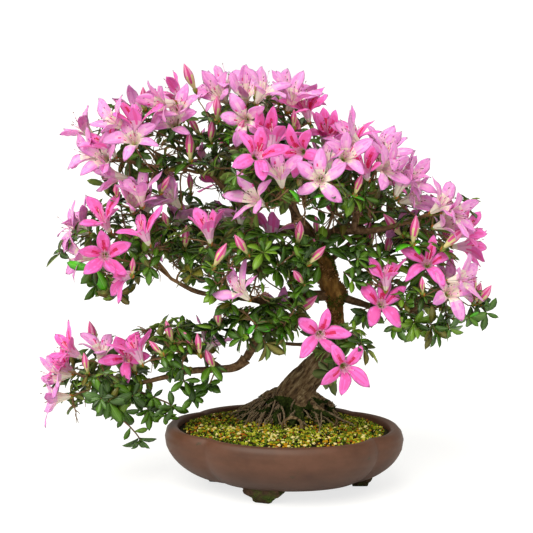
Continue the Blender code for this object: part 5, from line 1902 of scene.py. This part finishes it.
def add_trunk_fibres(points, normals, materials):
    """Loose bark fibres and a little moss, which roughen the upper trunk."""
    rng = random.Random(SEED + 3)
    batch = Batch()
    for k in range(TRUNK_FIBRES):
        i = rng.randrange(len(points))
        place, way = Vector(points[i]), Vector(normals[i])
        if noise.noise(place * 60) < -0.15:
            continue
        stray = Vector((rng.uniform(-0.6, 0.6), rng.uniform(-0.6, 0.6), rng.uniform(-0.2, 1)))
        kinds = BARK_MOSS if noise.noise(place * 45) > 0.08 else BARK_FIBRES
        length = rng.uniform(1.0, 2.6) * MM
        moss_shoot(batch, place, (way + stray).normalized(), length, rng.choice(kinds))
    batch.piece("trunk_fibres", materials, "trunk_bark", "trunk", smooth=False)


# Masses ---------------------------------------------------------------------

def add_mass(mass, shoots, rooms, looks):
    """One mass as three joined pieces: its twigs, its leaves and its blossom."""
    rng = random.Random(f"{SEED} {mass.name}")
    coarse = grow_twigs(mass, shoot_tips(mass, rng))
    finer = random.Random(f"finer {mass.name}")
    rods = rod_table(coarse)
    tips = [held_in(tip) for tip in shoots + fine_tips(mass, rooms, finer)]
    fine = [fine_twig(tip, *rods, finer) for tip in tips]
    wood, blossom, leaves = Batch(), Batch(), Leaves()
    for twig in coarse:
        bent = bent_twig(twig, finer)
        tube(wood, bent.line, bent.radii, TWIG_SIDES)
    for twig in fine:
        tube(wood, twig.line, twig.radii, FINE_TWIG_SIDES)
    for twig in coarse + fine:
        dress(twig, wood, blossom, leaves, finer)
    kind = mass.name.replace("mass_", "")
    wood.piece("twigs_" + kind, looks["twig"], "blooming_foliage", mass.name)
    leaves.batch(rooms).piece("leaves_" + kind, looks["leaf"], "blooming_foliage", mass.name)
    if blossom.points:
        blossom.piece("blossom_" + kind, looks["blossom"], "blooming_foliage", mass.name)


def dress(twig, wood, blossom, leaves, rng):
    """Give a twig what its tip bears: a bloom, a bud, a whorl, a single leaf or bare spurs."""
    place, aim, kind, tint, opening = twig.tip
    if kind == "bloom" and opening < BUD_OPENING:
        add_bud(blossom, place + aim * MM, aim, rng)
        add_whorl(leaves, twig, rng, 5)
    elif kind == "bloom":
        nodding = (aim + jitter(rng, BLOOM_NOD)).normalized()
        add_flower(blossom, place + aim * MM, nodding, tint, opening, rng)
        add_whorl(leaves, twig, rng, 4)
    elif kind == "spot":
        add_whorl(leaves, twig, rng, 1, tint, SPOT_LEAF)
    elif kind == "bare":
        for line in spurs(twig, rng):
            tube(wood, line, SPUR_RADII, FINE_TWIG_SIDES)
    else:
        add_whorl(leaves, twig, rng, rng.randint(*WHORL))
        if kind == "bud":
            add_bud(blossom, place + aim * 2 * MM, aim, rng)
    add_stem_leaves(leaves, twig, rng, 1 if kind == "bare" else 2)


# Colours along each bark's or clay's pattern, from its darkest to its lightest
BARK = ((0.34, "32251A"), (0.46, "604B34"), (0.55, "806B4E"), (0.67, "A69272"))
# Painted shade in the bark's fissures, on the deepest faces of its relief
BARK_FISSURE_SHADE = ((0.3, "3E2F1E"), (0.7, "5E4C36"))
BARK_HOLLOW = ((0.3, "171F08"), (0.5, "2A3510"), (0.75, "4A5A1E"))
ROOT_BARK = ((0.3, "5A4936"), (0.5, "7E6C56"), (0.75, "9C8B70"))
HIGH_BARK = ((0.32, "422F15"), (0.5, "725024"), (0.7, "9F7B42"))
BOUGH_BARK = ((0.28, "3A2A1A"), (0.5, "624A33"), (0.72, "8A7054"))
CLAY = ((0.25, "462819"), (0.5, "583726"), (0.75, "674231"))
CLAY_SMUDGES = (0.64, 0.74, "4A3A26")
# Painted shade towards the pot's foot: full below the first height, gone above the second, then its colour
CLAY_PAINTED_SHADE = (12 * MM, 48 * MM, "38231A")
FOOT_CLAY = ((0.3, "2A2015"), (0.6, "4E3A2B"))
FOOT_MOSS = (0.45, 0.62, "4E6420")
SOIL = ((0.3, "140F05"), (0.6, "2E2C0E"), (0.8, "4A4818"))


def main():
    add_camera()
    bpy.context.scene.view_settings.view_transform = "Standard"
    add_sky()
    add_key_light()
    add_floor()
    leaf, blossom = leaf_materials(), blossom_materials()
    looks = {"leaf": leaf, "blossom": blossom, "twig": [tinted("twig_bark", "7C5E40", 0.8, 0.3)]}
    soil = streaked("soil_bed", SOIL, 260.0, 0.95)
    grains = [tinted(f"grain_{k}", code, 0.85, 0.1) for k, code in enumerate(GRAIN_COLOURS)]
    moss = [tinted(f"moss_{k}", code, 0.9, 0.1) for k, code in enumerate(MOSS_COLOURS)]
    bark = [streaked("bark", BARK, 300.0, 0.85, 0.22, relief=0.7 * MM, lean=TRUNK_LEAN),
            streaked("bark_fissure", BARK_FISSURE_SHADE, 400.0, 0.95, 0.5),
            streaked("bark_moss", BARK_HOLLOW, 420.0, 0.95),
            streaked("root_bark", ROOT_BARK, 500.0, 0.9),
            streaked("upper_bark", HIGH_BARK, 160.0, 0.9, 0.4)]
    bough_bark = streaked("bough_bark", BOUGH_BARK, 240.0, 0.85)
    # The clay is darkened towards its foot: painted shade
    add_pot(streaked("clay", CLAY, 24.0, 0.5, 1.6, specular=0.4, relief=0.12 * MM, moss=CLAY_SMUDGES,
                     stain=CLAY_PAINTED_SHADE))
    add_feet(streaked("foot_clay", FOOT_CLAY, 300.0, 0.85, moss=FOOT_MOSS))
    add_soil_bed(soil)
    rng = random.Random(SEED + 1)
    add_grains(grains, rng)
    add_soil_moss(moss, rng)
    hollows, upper = add_trunk(bark)
    add_trunk_moss(*hollows, moss)
    add_trunk_fibres(*upper, moss)
    add_boughs(bough_bark)
    shoots = sight_shoots()
    rooms = sight_rooms(shoots)
    for mass in MASSES:
        add_mass(mass, shoots[mass.name], rooms, looks)


main()
